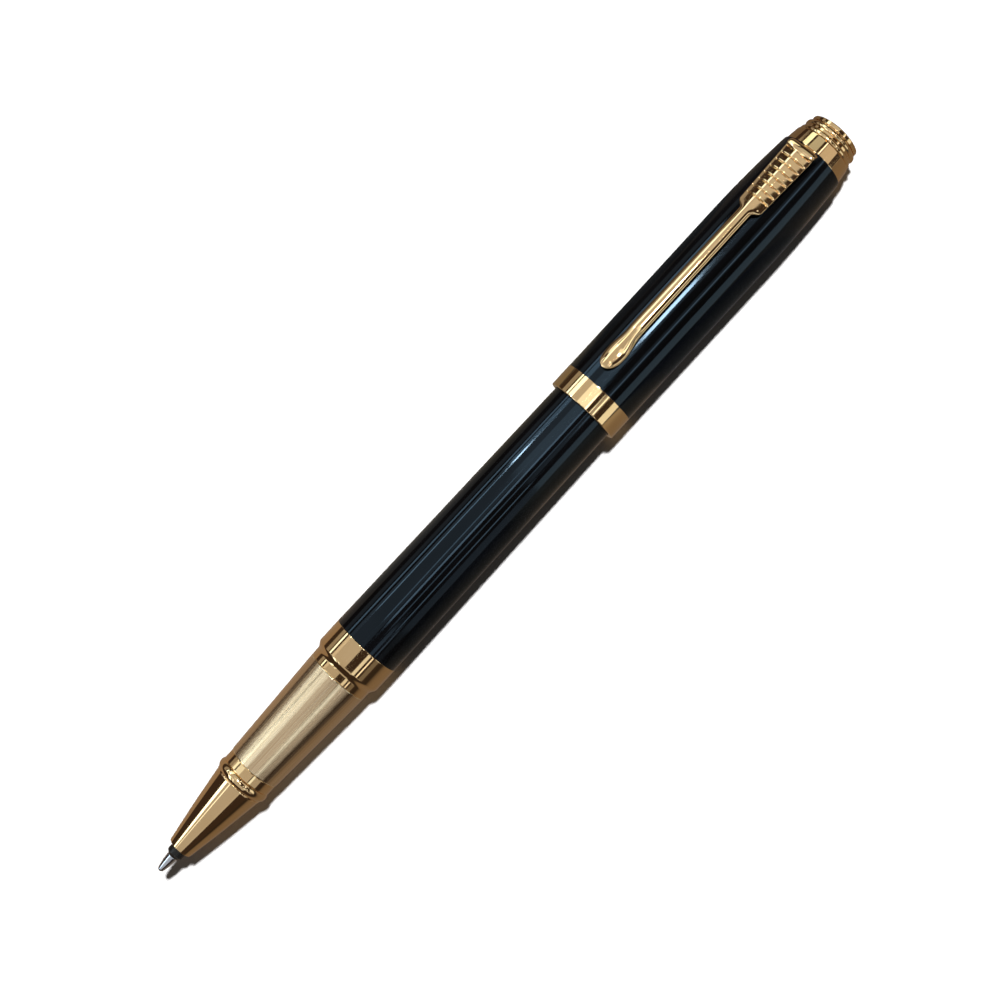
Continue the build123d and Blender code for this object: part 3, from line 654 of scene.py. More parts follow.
BLACK_LACQUER = Lacquer(
    "black lacquer", "black_lacquer", (0.0012, 0.0011, 0.0012), (0.0024, 0.0024, 0.003), (0.04, 0.075)
)
POLISHED_GOLD = Polished(
    "polished gold", "polished_gold", (0.87, 0.63, 0.34), (0.80, 0.56, 0.28), (0.04, 0.09), 1.0, 0.025
)
SATIN_GOLD = Satin(
    "satin gold", "satin_gold", (0.95, 0.77, 0.52), (0.76, 0.57, 0.34), (0.12, 0.24), 1.0
)
TURNED_BRASS = Polished(
    "turned brass", "plain_brass", (0.74, 0.57, 0.29), (0.60, 0.44, 0.20), (0.16, 0.30), 1.0, 0.3
)
POINT_STEEL = Polished(
    "point steel", "point_steel", (0.72, 0.78, 0.88), (0.55, 0.60, 0.70), (0.08, 0.14), 1.0, 0.03
)
CARBIDE = Polished(
    "writing ball carbide", "carbide", (0.40, 0.39, 0.38), (0.30, 0.30, 0.30), (0.10, 0.25), 1.0, 0.1
)
SPRING_STEEL = Polished(
    "spring steel", "spring_steel", (0.60, 0.60, 0.59), (0.46, 0.46, 0.46), (0.14, 0.28), 1.0, 0.2
)
BLACK_PLASTIC = Moulded(
    "black plastic", "black_plastic", (0.004, 0.004, 0.004), (0.008, 0.008, 0.008), (0.20, 0.34)
)
WHITE_PLASTIC = Moulded(
    "white plastic", "white_plastic", (0.72, 0.72, 0.70), (0.64, 0.64, 0.62), (0.25, 0.42)
)
INK_FIBRE = Fibre("ink fibre", "fibre", (0.10, 0.10, 0.16), (0.02, 0.02, 0.05), (0.7, 0.95))


def dress(piece: bpy.types.Object, finish: Finish) -> None:
    """Give a piece or a node one finish in place of whatever it has."""
    piece.data.materials.clear()
    piece.data.materials.append(finish.material())


@dataclass
class Assembly:
    """A group of pieces that ride on one body of the frame."""

    body: str

    def fit(self, piece: bpy.types.Object, node: str, finish: Finish) -> None:
        """Dress a new piece, set it on the body and let it stand for its node.

        Args:
            piece: the new piece.
            node: the node that it replaces.
            finish: the piece's finish.
        """
        dress(piece, finish)
        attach(piece, self.body)
        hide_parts(node)
        log.info("%s: %d faces, on %s", piece.name, len(piece.data.polygons), self.body)

    def keep(self, node: str, finish: Finish) -> None:
        """Dress a node of the frame that keeps its own shape."""
        dress(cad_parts[node], finish)
        log.info("%s: kept, on %s", node, self.body)


@dataclass
class Refill(Assembly):
    """The refill: a steel point in a black nose, and the tube with its filler, wick and end plug."""

    body: str = "refill"
    shank_radius: float = 0.62
    rim_radius: float = 0.45
    rim_edge: float = 0.03
    base_radius: float = 0.88
    middle_radius: float = 0.76
    rim_from_tip: float = 0.2
    point_length: float = 3.00
    channel_radius: float = 0.22
    socket_radius: float = 0.37
    ball_radius: float = 0.35
    nose_radius: float = 1.34
    nose_chamfer: float = 0.5
    nose_front: float = 1.66
    shank_length: float = 7.9
    shoulder_slope: float = 0.5
    shoulder_radius: float = 2.0
    collar_length: float = 1.0
    spigot_length: float = 6.0
    spigot_radius: float = 2.75
    wick_bore: float = 0.51

    def build(self) -> None:
        """Build and dress every piece of the refill."""
        self.point()
        self.nose()
        for node, finish in (
            ("refill_tube", WHITE_PLASTIC),
            ("refill_end_plug", BLACK_PLASTIC),
            ("ink_filler", INK_FIBRE),
            ("ink_wick", INK_FIBRE),
        ):
            self.keep(node, finish)

    def point(self) -> None:
        """The point: an ogive from the rim to the base, a shank behind it, a round socket and a channel."""
        place = span("refill_point")
        tip = place.start - self.rim_from_tip
        base = tip + self.point_length
        centre = tip + self.ball_radius
        lip = math.sqrt(self.socket_radius**2 - (centre - place.start) ** 2)
        back = centre + math.sqrt(self.socket_radius**2 - self.channel_radius**2)
        front = (place.start + self.rim_edge, self.rim_radius)
        middle = ((place.start + base) / 2, self.middle_radius)
        lean = 0.3
        rows = np.concatenate(
            [
                corners((place.start, lip), (place.start, self.rim_radius - self.rim_edge, 0.02)),
                arc(front, middle, (base, self.base_radius), 24)[:-1],
                corners(
                    (base, self.base_radius, 0.03),
                    (base, self.shank_radius, 0.02),
                    (place.end, self.shank_radius, 0.1),
                    (place.end, self.channel_radius),
                ),
                arc(
                    (back, self.channel_radius),
                    (centre + self.socket_radius * lean, self.socket_radius * math.sqrt(1 - lean**2)),
                    (place.start, lip),
                    16,
                )[:-1],
            ]
        )
        self.fit(turned("refill_point_fine", rows), "refill_point", POINT_STEEL)

    def nose(self) -> None:
        """The black nose: a chamfered front, a shoulder, a collar on the tube's end and a spigot in it."""
        place = span("refill_nose")
        collar = place.end - self.spigot_length
        step = place.start + self.nose_front + self.shank_length
        shank_end = span("refill_point").end
        rows = corners(
            (place.start, self.shank_radius + PLAY),
            (place.start, self.base_radius + 4 * PLAY, 0.03),
            (place.start + self.nose_chamfer, self.nose_radius, 0.12),
            (step, self.nose_radius, 0.1),
            (step + self.shoulder_slope, self.shoulder_radius, 0.1),
            (collar - self.collar_length, self.shoulder_radius, 0.05),
            (collar - self.collar_length, place.radius, 0.12),
            (collar, place.radius, 0.08),
            (collar, self.spigot_radius, 0.03),
            (place.end, self.spigot_radius, 0.15),
            (place.end, self.wick_bore),
            (shank_end, self.wick_bore),
            (shank_end, self.shank_radius + PLAY),
        )
        self.fit(turned("refill_nose_fine", rows), "refill_nose", BLACK_PLASTIC)


@dataclass
class WritingBall(Assembly):
    """The ball that rolls in the point's socket."""

    body: str = "ball"
    steps: int = 40

    def build(self) -> None:
        """A half circle from pole to pole, carried round the axis."""
        place = span("tip_ball")
        middle = (place.start + place.end) / 2
        rows = arc((place.start, 0.0), (middle, place.radius), (place.end, 0.0), self.steps)
        rows[[0, -1], 1] = 0.0
        self.fit(turned("tip_ball_fine", rows, closed=False), "tip_ball", CARBIDE)


@dataclass
class Section(Assembly):
    """The front section: nose cone, bead ring, neck ring, satin grip and collar on the threaded core."""

    body: str = "section"
    cone_front: float = 1.96
    cone_bulge: float = 0.09
    cone_rim: float = 0.3
    cone_rim_height: float = 0.05
    cone_edge: float = 0.03
    cone_mouth: float = 0.14
    cone_bore: float = 1.39
    cone_step_from_front: float = 7.3
    shoulder_bore: float = 2.05
    socket_radius: float = 3.19
    socket_length: float = 2.1
    ring_bore: float = 3.61
    bead_base: float = 4.10
    sleeve_bore: float = 3.95
    grip_front: float = 4.34
    rim: float = 0.15
    neck_radius: float = 5.13
    neck_width: float = 1.20
    flare_length: float = 1.24
    flange_radius: float = 4.46
    flange_length: float = 2.0

    def build(self) -> None:
        """Build and dress every piece of the section."""
        self.nose_cone()
        self.rings()
        self.grip()
        self.collar()
        self.keep("section_core", TURNED_BRASS)

    def nose_cone(self) -> None:
        """The cone: a slightly bulged side, a rolled mouth and a stepped bore."""
        place = span("nose_cone")
        middle = ((place.start + place.end) / 2, (self.cone_front + place.radius) / 2 + self.cone_bulge)
        rim = place.end - self.cone_rim
        raised = place.radius + self.cone_rim_height
        front = (place.start + self.cone_mouth, self.cone_front + self.cone_edge)
        side = arc(front, middle, (rim, place.radius - self.cone_edge), 40)
        step = place.start + self.cone_step_from_front
        rows = np.concatenate(
            [
                corners((place.start, self.cone_bore, 0.05), (place.start, self.cone_front, 0.12)),
                side,
                corners(
                    (rim + 0.02, raised, 0.06),
                    (place.end, raised, 0.08),
                    (place.end, self.socket_radius),
                    (place.end - self.socket_length, self.socket_radius),
                    (place.end - self.socket_length, self.shoulder_bore),
                    (step + 0.5, self.shoulder_bore),
                    (step, self.cone_bore),
                ),
            ]
        )
        self.fit(turned("nose_cone_fine", rows), "nose_cone", POLISHED_GOLD)

    def rings(self) -> None:
        """The half-round bead, and the narrow neck ring with softened edges."""
        bead = span("bead_ring")
        top = ((bead.start + bead.end) / 2, bead.radius)
        crown = arc((bead.start, self.bead_base), top, (bead.end, self.bead_base), 24)
        rows = np.concatenate([crown, corners((bead.end, self.ring_bore), (bead.start, self.ring_bore))])
        self.fit(turned("bead_ring_fine", rows), "bead_ring", POLISHED_GOLD)
        neck = span("front_neck_ring")
        rows = corners(
            (neck.start, self.ring_bore),
            (neck.start, neck.radius, 0.12),
            (neck.end, neck.radius, 0.08),
            (neck.end, self.ring_bore),
        )
        self.fit(turned("front_neck_ring_fine", rows), "front_neck_ring", POLISHED_GOLD)

    def grip(self) -> None:
        """The satin taper with a rounded rim at each end."""
        place = span("grip_sleeve")
        rows = corners(
            (place.start, self.sleeve_bore),
            (place.start, self.grip_front, self.rim),
            (place.end, place.radius, self.rim),
            (place.end, self.sleeve_bore),
        )
        self.fit(turned("grip_sleeve_fine", rows), "grip_sleeve", SATIN_GOLD)

    def collar(self) -> None:
        """The neck that the cap snaps on, an S-shaped flare (3t^2 - 2t^3) that stops it, and the band."""
        place = span("section_collar")
        t = np.linspace(0, 1, 30)
        climb = (place.radius - self.neck_radius) * t**2 * (3 - 2 * t)
        along = place.start + self.neck_width + self.flare_length * t
        flare = np.stack([along, self.neck_radius + climb, 0 * t], axis=1)
        rows = np.concatenate(
            [
                corners((place.start, self.sleeve_bore), (place.start, self.neck_radius, 0.08)),
                flare,
                corners(
                    (place.end, place.radius, 0.1),
                    (place.end, self.flange_radius),
                    (place.end - self.flange_length, self.flange_radius),
                    (place.end - self.flange_length, self.sleeve_bore),
                ),
            ]
        )
        self.fit(turned("section_collar_fine", rows), "section_collar", POLISHED_GOLD)


@dataclass
class Barrel(Assembly):
    """The lacquered barrel with its gold tail plug, and the bush, insert and spring inside it."""

    body: str = "barrel"
    front_radius: float = 5.69
    taper: float = 0.0085
    tail_round: float = 4.86
    tail_face: float = 3.60
    tail_wall: float = 3.8
    tail_hole: float = 1.60
    bore: float = 4.50
    bush_bore: float = 4.93
    bush_depth: float = 9.25
    dome: float = 0.35
    stud_length: float = 3.5

    def build(self) -> None:
        """Build and dress every piece of the barrel."""
        self.tube()
        self.plug()
        for node, finish in (
            ("barrel_bush", TURNED_BRASS),
            ("tail_insert", BLACK_PLASTIC),
            ("refill_spring", SPRING_STEEL),
        ):
            self.keep(node, finish)

    def tube(self) -> None:
        """The tube: a long taper, then a circle tangent to it that turns in to the tail's face."""
        place = span("barrel_tube")
        shoulder = place.end - self.tail_round
        radius = self.front_radius - self.taper * (shoulder - place.start)
        along = np.array([1.0, -self.taper]) / math.hypot(1.0, self.taper)
        chord = np.array([self.tail_round, self.tail_face - radius])
        across = np.array([along[1], -along[0]])
        size = (chord @ chord) / (2 * (chord @ across))
        centre = np.array([shoulder, radius]) + across * size
        outward = np.array([shoulder, radius]) + chord / 2 - centre
        half_way = centre + outward / np.linalg.norm(outward) * abs(size)
        tail = arc((shoulder, radius), tuple(half_way), (place.end, self.tail_face), 30)
        rows = np.concatenate(
            [
                corners((place.start, self.bush_bore), (place.start, self.front_radius, 0.08)),
                tail,
                corners(
                    (place.end, self.tail_hole),
                    (place.end - self.tail_wall, self.tail_hole),
                    (place.end - self.tail_wall, self.bore),
                    (place.start + self.bush_depth, self.bore),
                    (place.start + self.bush_depth, self.bush_bore),
                ),
            ]
        )
        self.fit(turned("barrel_tube_fine", rows), "barrel_tube", BLACK_LACQUER)

    def plug(self) -> None:
        """The tail plug: a low dome on a disc, with a stud behind it."""
        place = span("tail_plug")
        face = place.start + self.stud_length
        dome = arc(
            (place.end - self.dome, place.radius),
            (place.end - self.dome * 0.25, place.radius * 0.5),
            (place.end, 0.0),
            20,
        )
        rows = np.concatenate(
            [
                corners(
                    (place.start, 0.0),
                    (place.start, self.tail_hole - PLAY, 0.1),
                    (face, self.tail_hole - PLAY),
                    (face, place.radius, 0.05),
                    (place.end - self.dome, place.radius, 0.08),
                ),
                dome[1:],
            ]
        )
        rows[-1, 1] = 0.0
        self.fit(turned("tail_plug_fine", rows, closed=False), "tail_plug", POLISHED_GOLD)


@dataclass
class Cap(Assembly):
    """The lacquered cap with its band, its finial and the stack inside it."""

    body: str = "cap"
    tube_radius: float = 6.06
    top_radius: float = 5.40
    taper_length: float = 15.5
    wall: float = 0.40
    mouth_step: float = 0.20
    lip: float = 0.50
    lip_radius: float = 5.40
    slot_length: float = 1.87
    slot_half_width: float = 1.32
    slot_edge: float = 0.004
    ease: float = 6.0
    stack_bore: float = 1.51
    base_end_radius: float = 4.93
    finial_spigot: float = 0.45
    finial_play: float = 0.06
    bead_width: float = 0.98
    groove_width: float = 0.31
    second_bead_width: float = 0.83
    groove_radius: float = 4.37
    second_bead_radius: float = 4.60
    bead_side: float = 0.35
    button_neck: float = 3.90
    button_bore: float = 1.20
    button_spigot: float = 0.95
    button_edge: float = 0.60
    button_round: float = 0.40

    def build(self) -> None:
        """Build and dress every piece of the cap."""
        self.tube()
        self.band()
        self.finial()
        for node, finish in (
            ("clutch_sleeve", SPRING_STEEL),
            ("inner_cap", BLACK_PLASTIC),
            ("cap_spacer", BLACK_PLASTIC),
            ("clip_mount", TURNED_BRASS),
            ("cap_screw", SPRING_STEEL),
        ):
            self.keep(node, finish)

    def drop(self, x: np.ndarray) -> np.ndarray:
        """How far the cap's side has come in at x: the sagitta of a circle tangent to the straight part."""
        start = span("cap_tube").end - self.taper_length
        fall = self.tube_radius - self.top_radius
        size = (self.taper_length**2 + fall**2) / (2 * fall)
        past = np.maximum(x - start, 0)
        return size - np.sqrt(size**2 - past**2)

    def tube(self) -> None:
        """The tube: straight, then drawn in along a circle, with a slot for the clip in its end.

        The outline is carried round the axis, and where it passes the slot its end rows are squeezed back
        along the pen to the slot's front, keeping the wall on the cap's curve.
        """
        place = span("cap_tube")
        band_end = span("cap_band").end
        x = np.linspace(place.end - self.taper_length, place.end, 40)
        outer = np.stack([x, self.tube_radius - self.drop(x), 0 * x], axis=1)
        inner = outer[::-1] - np.array([0, self.wall, 0])
        rows = np.concatenate(
            [
                corners(
                    (place.start, self.tube_radius - self.wall),
                    (place.start, self.tube_radius - self.mouth_step),
                    (band_end, self.tube_radius - self.mouth_step),
                    (band_end, self.tube_radius, 0.05),
                ),
                outer,
                inner,
            ]
        )
        points, worn = Outline(rows).skirted()
        half = math.asin(self.slot_half_width / self.top_radius)
        away = np.linspace(half + self.slot_edge, math.tau - half - self.slot_edge, AROUND)
        inside = np.linspace(-half + self.slot_edge, half - self.slot_edge, 12)
        angle = np.concatenate([inside, away]) + math.pi / 2
        cut = np.concatenate([np.ones(len(inside)), np.zeros(len(away))])[None]
        start = place.end - self.slot_length - self.ease
        squeeze = 1 - cut * self.slot_length / (self.slot_length + self.ease)
        given = points[:, :1]
        moved = np.where(given > start, start + (given - start) * squeeze, given + 0 * squeeze)
        radius = points[:, 1:] + self.drop(given) - self.drop(moved)
        grid = np.stack([moved, radius * np.cos(angle), axis_height() + radius * np.sin(angle)], axis=-1)
        piece = put_mesh("cap_tube_fine", grid * MM, np.repeat(worn[:, None], len(angle), axis=1), True)
        self.fit(piece, "cap_tube", BLACK_LACQUER)

    def band(self) -> None:
        """The polished band: a lip over the tube's end and a softened, slightly proud ring."""
        place = span("cap_band")
        seat = self.tube_radius - self.mouth_step + PLAY
        rows = corners(
            (place.start, self.lip_radius, 0.06),
            (place.start, place.radius, 0.16),
            (place.end, place.radius, 0.03),
            (place.end, seat),
            (place.start + self.lip, seat),
            (place.start + self.lip, self.lip_radius),
        )
        self.fit(turned("cap_band_fine", rows), "cap_band", POLISHED_GOLD)

    def finial(self) -> None:
        """The finial: a tapered base, a knob of two beads and grooves, and a domed button."""
        base = span("finial_base")
        seat = base.start + self.finial_spigot
        rows = corners(
            (base.start, self.stack_bore),
            (base.start, self.top_radius - self.wall - self.finial_play),
            (seat, self.top_radius - self.wall - self.finial_play),
            (seat, base.radius, 0.06),
            (base.end, self.base_end_radius, 0.1),
            (base.end, self.stack_bore),
        )
        self.fit(turned("finial_base_fine", rows), "finial_base", POLISHED_GOLD)
        knob = span("finial_knob")
        groove = knob.start + self.bead_width
        second = groove + self.groove_width
        second_end = second + self.second_bead_width
        rows = np.concatenate(
            [
                arc(
                    (knob.start, knob.radius - self.bead_side),
                    ((knob.start + groove) / 2, knob.radius),
                    (groove, self.groove_radius),
                    18,
                ),
                arc(
                    (second, self.groove_radius),
                    ((second + second_end) / 2, self.second_bead_radius),
                    (second_end, self.second_bead_radius - self.bead_side),
                    18,
                ),
                corners(
                    (second_end, self.button_neck),
                    (knob.end, self.button_neck),
                    (knob.end, self.button_bore),
                    (knob.end - self.button_spigot, self.button_bore),
                    (knob.end - self.button_spigot, self.stack_bore),
                    (knob.start, self.stack_bore),
                ),
            ]
        )
        self.fit(turned("finial_knob_fine", rows), "finial_knob", POLISHED_GOLD)
        button = span("finial_button")
        face = button.start + self.button_spigot
        rise = button.end - face - self.button_edge
        dome = arc(
            (face + self.button_edge, button.radius),
            (button.end - 0.25 * rise, 0.5 * button.radius),
            (button.end, 0.0),
            30,
        )
        rows = np.concatenate(
            [
                corners(
                    (button.start, 0.0),
                    (button.start, self.button_bore - PLAY),
                    (face, self.button_bore - PLAY),
                    (face, button.radius, 0.06),
                    (face + self.button_edge, button.radius, self.button_round),
                ),
                dome[1:],
            ]
        )
        rows[-1, 1] = 0.0
        self.fit(turned("finial_button_fine", rows, closed=False), "finial_button", POLISHED_GOLD)


@dataclass
class Clip(Assembly):
    """The spring clip: a spoon foot, a slim stem, a grooved head and a tab turned down into the cap."""

    body: str = "clip"
    tube_radius: float = 6.06
    gap: float = 0.69
    thickness: float = 0.85
    foot_lift: float = 0.08
    foot_length: float = 6.7
    foot_half_width: float = 1.6
    foot_rise: float = 0.55
    foot_climb: float = 0.7
    tip_share: float = 0.2
    widest: float = 0.5
    stem_half_width: float = 1.2
    stem_end_half_width: float = 1.03
    head_half_width: float = 2.1
    root_half_width: float = 2.5
    head_length: float = 12.0
    shoulder_length: float = 1.2
    closing_length: float = 1.5
    bend: float = 0.62
    tab_half_width: float = 1.2
    tab_thickness: float = 1.15
    tab_narrowing: float = 0.5
    ribs: int = 8
    rib_spacing: float = 1.28
    rib_depth: float = 0.15
    rib_from_root: float = 1.6
    rib_reach: float = 0.93
    rib_fade: float = 0.08
    crown: float = 0.42
    roof: float = 0.70
    root_crown: float = 0.2
    roof_power: float = 1.12
    edge_place: float = 0.72
    edge_width: float = 0.12
    around: int = 96

    def build(self) -> None:
        """Carry a rounded, crowned section along the clip's bent line."""
        low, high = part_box("clip")
        axis = axis_height()
        grid = self.surface(low.x / MM, high.x / MM, high.z / MM - axis, low.z / MM - axis)
        piece = put_mesh("clip_fine", grid * MM, self.worn(len(grid)), False)
        self.fit(piece, "clip", POLISHED_GOLD)

    def surface(self, start: float, root: float, top: float, tab_end: float) -> np.ndarray:
        """The clip's surface.

        Along the line, the height above the axis follows the underside: a spoon that touches the cap, a
        level stem and head, then a quarter circle and a straight tab down. Round the line, the section is
        a superellipse |y / w|^4 + |n / t|^4 = 1. Its upper side is crowned by 1 - (y / w)^2 on the stem,
        and by a low roof 1 - |y / w|^1.12 with grooves across it on the head. The plate's thickness closes
        over the tip by sqrt(1 - (1 - t)^6), where t goes from 0 at the tip to 1 at the widest place.

        Args:
            start: the foot's tip along the pen.
            root: the tab's outer face along the pen.
            top: the head's top above the axis.
            tab_end: the tab's end above the axis.

        Returns:
            Points in millimetres as rows along the clip by columns round it.
        """
        bend_x = root - self.tab_thickness / 2 - self.bend
        flat = self.flat_rows(start, root, bend_x)
        head = self.eased((flat - root + self.head_length + self.shoulder_length) / self.shoulder_length)
        shut = self.closing_length - self.tab_thickness / 2 - self.bend
        closing = self.eased((flat - root + self.closing_length) / shut)
        crown = self.crown + (self.roof - self.crown) * head - (self.roof - self.root_crown) * closing
        level = (self.tube_radius + self.gap + top) / 2 - crown / 2
        turn = np.linspace(0, math.pi / 2, 24)[1:]
        down = np.linspace(level[-1] - self.bend, tab_end, 30)[1:]
        x = np.concatenate([flat, bend_x + self.bend * np.sin(turn), np.full(len(down), bend_x + self.bend)])
        height = self.height((flat - start) / self.foot_length, level, crown)
        z = np.concatenate([height, level[-1] - self.bend * (1 - np.cos(turn)), down])
        tip = np.clip((flat - start) / (self.widest * self.foot_length), 0, 1)
        narrow = self.eased((level[-1] - self.bend - down) / self.tab_narrowing)
        tab = self.root_half_width + (self.tab_half_width - self.root_half_width) * narrow
        flat_width = self.half_width(flat, start, root, head)
        width = np.concatenate([flat_width, np.full(len(turn), self.root_half_width), tab])
        plate = self.thickness / 2 - crown / 2
        grown = np.linspace(0, 1, len(turn))
        thin = np.concatenate(
            [
                plate * np.sqrt(np.clip(1 - (1 - tip) ** 6, 0, 1)),
                plate[-1] + (self.tab_thickness / 2 - plate[-1]) * grown,
                np.full(len(down), self.tab_thickness / 2),
            ]
        )
        crown = np.concatenate([crown * np.minimum(1, 3 * tip), crown[-1] * (1 - grown), 0 * down])
        tangent = np.stack([np.gradient(x), np.gradient(z)], axis=1)
        tangent /= np.maximum(np.linalg.norm(tangent, axis=1, keepdims=True), 1e-9)
        normal = np.stack([-tangent[:, 1], tangent[:, 0]], axis=1)
        circle = (np.cos(self.angle), np.sin(self.angle))
        across, over = (np.sign(part) * np.abs(part) ** 0.5 for part in circle)
        roofed = np.concatenate([head, np.ones(len(turn) + len(down))])[:, None]
        curve = (1 - roofed) * (1 - across**2) + roofed * (1 - np.abs(across) ** self.roof_power)
        dome = crown[:, None] * curve * (over > 0)
        n = thin[:, None] * over + dome - self.groove(x, root)[:, None] * self.window(across)
        raised = axis_height() + z[:, None] + normal[:, 1:] * n
        grid = np.stack([x[:, None] + normal[:, :1] * n, width[:, None] * across, raised], axis=-1)
        ends = grid[[0, -1]].mean(axis=1, keepdims=True) + 0 * grid[[0, -1]]
        return np.concatenate([ends[:1], grid, ends[1:]])

    @property
    def angle(self) -> np.ndarray:
        """The angles round the section, from 0 up to a full turn."""
        return np.arange(self.around) / self.around * math.tau

    def flat_rows(self, start: float, root: float, bend_x: float) -> np.ndarray:
        """Places along the flat of the clip: close together at the tip, and fine over the grooves.

        Args:
            start: the foot's tip along the pen.
            root: the tab's outer face along the pen.
            bend_x: where the bend starts.

        Returns:
            Places along the pen, rising.
        """
        tip_length = self.tip_share * self.foot_length
        head_start = root - self.head_length
        return np.concatenate(
            [
                start + tip_length * (1 - np.cos(np.linspace(0, math.pi / 2, 40))),
                np.linspace(start + tip_length, head_start, 90)[1:],
                np.linspace(head_start, bend_x, 420)[1:],
            ]
        )

    def height(self, u: np.ndarray, level: np.ndarray, crown: np.ndarray) -> np.ndarray:
        """Height of the plate's middle: a tip that turns up by (1 - u / widest)^2, then an eased climb.

        Args:
            u: places along the foot, where 0 is its tip and 1 its end.
            level: the stem's and head's height.
            crown: how much of the thickness the crown takes.

        Returns:
            Heights above the axis.
        """
        foot = self.tube_radius + self.foot_lift + self.thickness / 2 - crown / 2
        rise = np.where(u < self.widest, (1 - u / self.widest) ** 2 * self.foot_rise, 0)
        return foot + rise + (level - foot) * self.eased((u - self.widest) / self.foot_climb)

    def half_width(self, flat: np.ndarray, start: float, root: float, head: np.ndarray) -> np.ndarray:
        """Half the clip's width: a round spoon sqrt(1 - (1 - t)^3), a slim stem and a flared head.

        Args:
            flat: places along the pen.
            start: the foot's tip along the pen.
            root: the tab's outer face along the pen.
            head: 0 on the stem and 1 on the head.

        Returns:
            Half widths.
        """
        u = (flat - start) / self.foot_length
        tip = np.clip((flat - start) / (self.widest * self.foot_length), 0, 1)
        spoon = self.foot_half_width * np.sqrt(1 - (1 - tip) ** 3)
        waist = self.eased((u - self.widest) / (1 - self.widest))
        width = spoon + (self.stem_half_width - self.foot_half_width) * waist
        stem_length = root - self.head_length - start - self.foot_length
        stem = np.clip((flat - start - self.foot_length) / stem_length, 0, 1)
        width = width + (self.stem_end_half_width - self.stem_half_width) * stem
        flared = np.clip((flat - root + self.head_length) / self.head_length, 0, 1)
        broad = self.head_half_width + (self.root_half_width - self.head_half_width) * flared
        return width + (broad - self.stem_end_half_width) * head

    def eased(self, t: np.ndarray) -> np.ndarray:
        """Ease from 0 to 1 as t does: 3t^2 - 2t^3, held at its ends."""
        t = np.clip(t, 0, 1)
        return t**2 * (3 - 2 * t)

    def groove(self, x: np.ndarray, root: float) -> np.ndarray:
        """Depth of the cross grooves at x: a row of narrow humps cos^30, one to a spacing."""
        first = root - self.rib_from_root - self.rib_spacing * (self.ribs - 1)
        phase = (x - first) / self.rib_spacing
        inside = (phase > -0.5) & (phase < self.ribs - 0.5)
        return self.rib_depth * inside * np.cos(math.pi * (phase - np.round(phase))) ** 30

    def window(self, across: np.ndarray) -> np.ndarray:
        """Where the grooves cut the section: its upper side, fading out before the edges."""
        return (np.sin(self.angle) > 0) * np.clip((self.rib_reach - np.abs(across)) / self.rib_fade, 0, 1)

    def worn(self, rows: int) -> np.ndarray:
        """The worn value, the same on every row: 1 where the section turns over its side edges."""
        from_edge = np.abs(np.abs(np.cos(self.angle)) - self.edge_place)
        return np.repeat(np.clip(1 - from_edge / self.edge_width, 0, 1)[None], rows, axis=0)


# ---- Studio ----

# Where a soft box reaches along the pen, in metres, and its colour.
OVER_CONE = (-0.6, -0.19)
OVER_GRIP = (-0.19, -0.125)
OVER_COLLAR = (-0.125, 0.02)
OVER_CAP = (0.02, 0.28)
OVER_FINIAL = (0.28, 0.6)
OVER_BARREL = (-0.06, 0.02)
PAST_BARREL = (-0.06, 0.06)
OVER_FRONT = (-0.125, -0.06)
SKY = (0.80, 0.93, 1.0)
PALE_SKY = (0.88, 0.95, 1.0)
SOFT_SKY = (0.85, 0.95, 1.0)


@dataclass(frozen=True)
class Strip:
    """A soft box beside the pen, seen only in its polish.

    start and end are bearings in degrees round the pen's axis from the camera's way, positive towards +Y.
    along and distance are metres.
    """

    name: str
    start: float
    end: float
    along: tuple[float, float]
    glow: float
    colour: Colour = (1.0, 1.0, 1.0)
    distance: float = 0.42


@dataclass(frozen=True)
class PaintedReflectionZone:
    """A stretch of the table along the pen, in millimetres, as the polish sees it.

    These are colours of the floor's painted reflection, which glossy rays see in place of the lit and shaded
    table. near and far are on the pen's -Y side, beside the pen and away from it. beyond is on its +Y side.
    """

    start: float
    end: float
    near: Colour
    far: Colour
    beyond: Colour


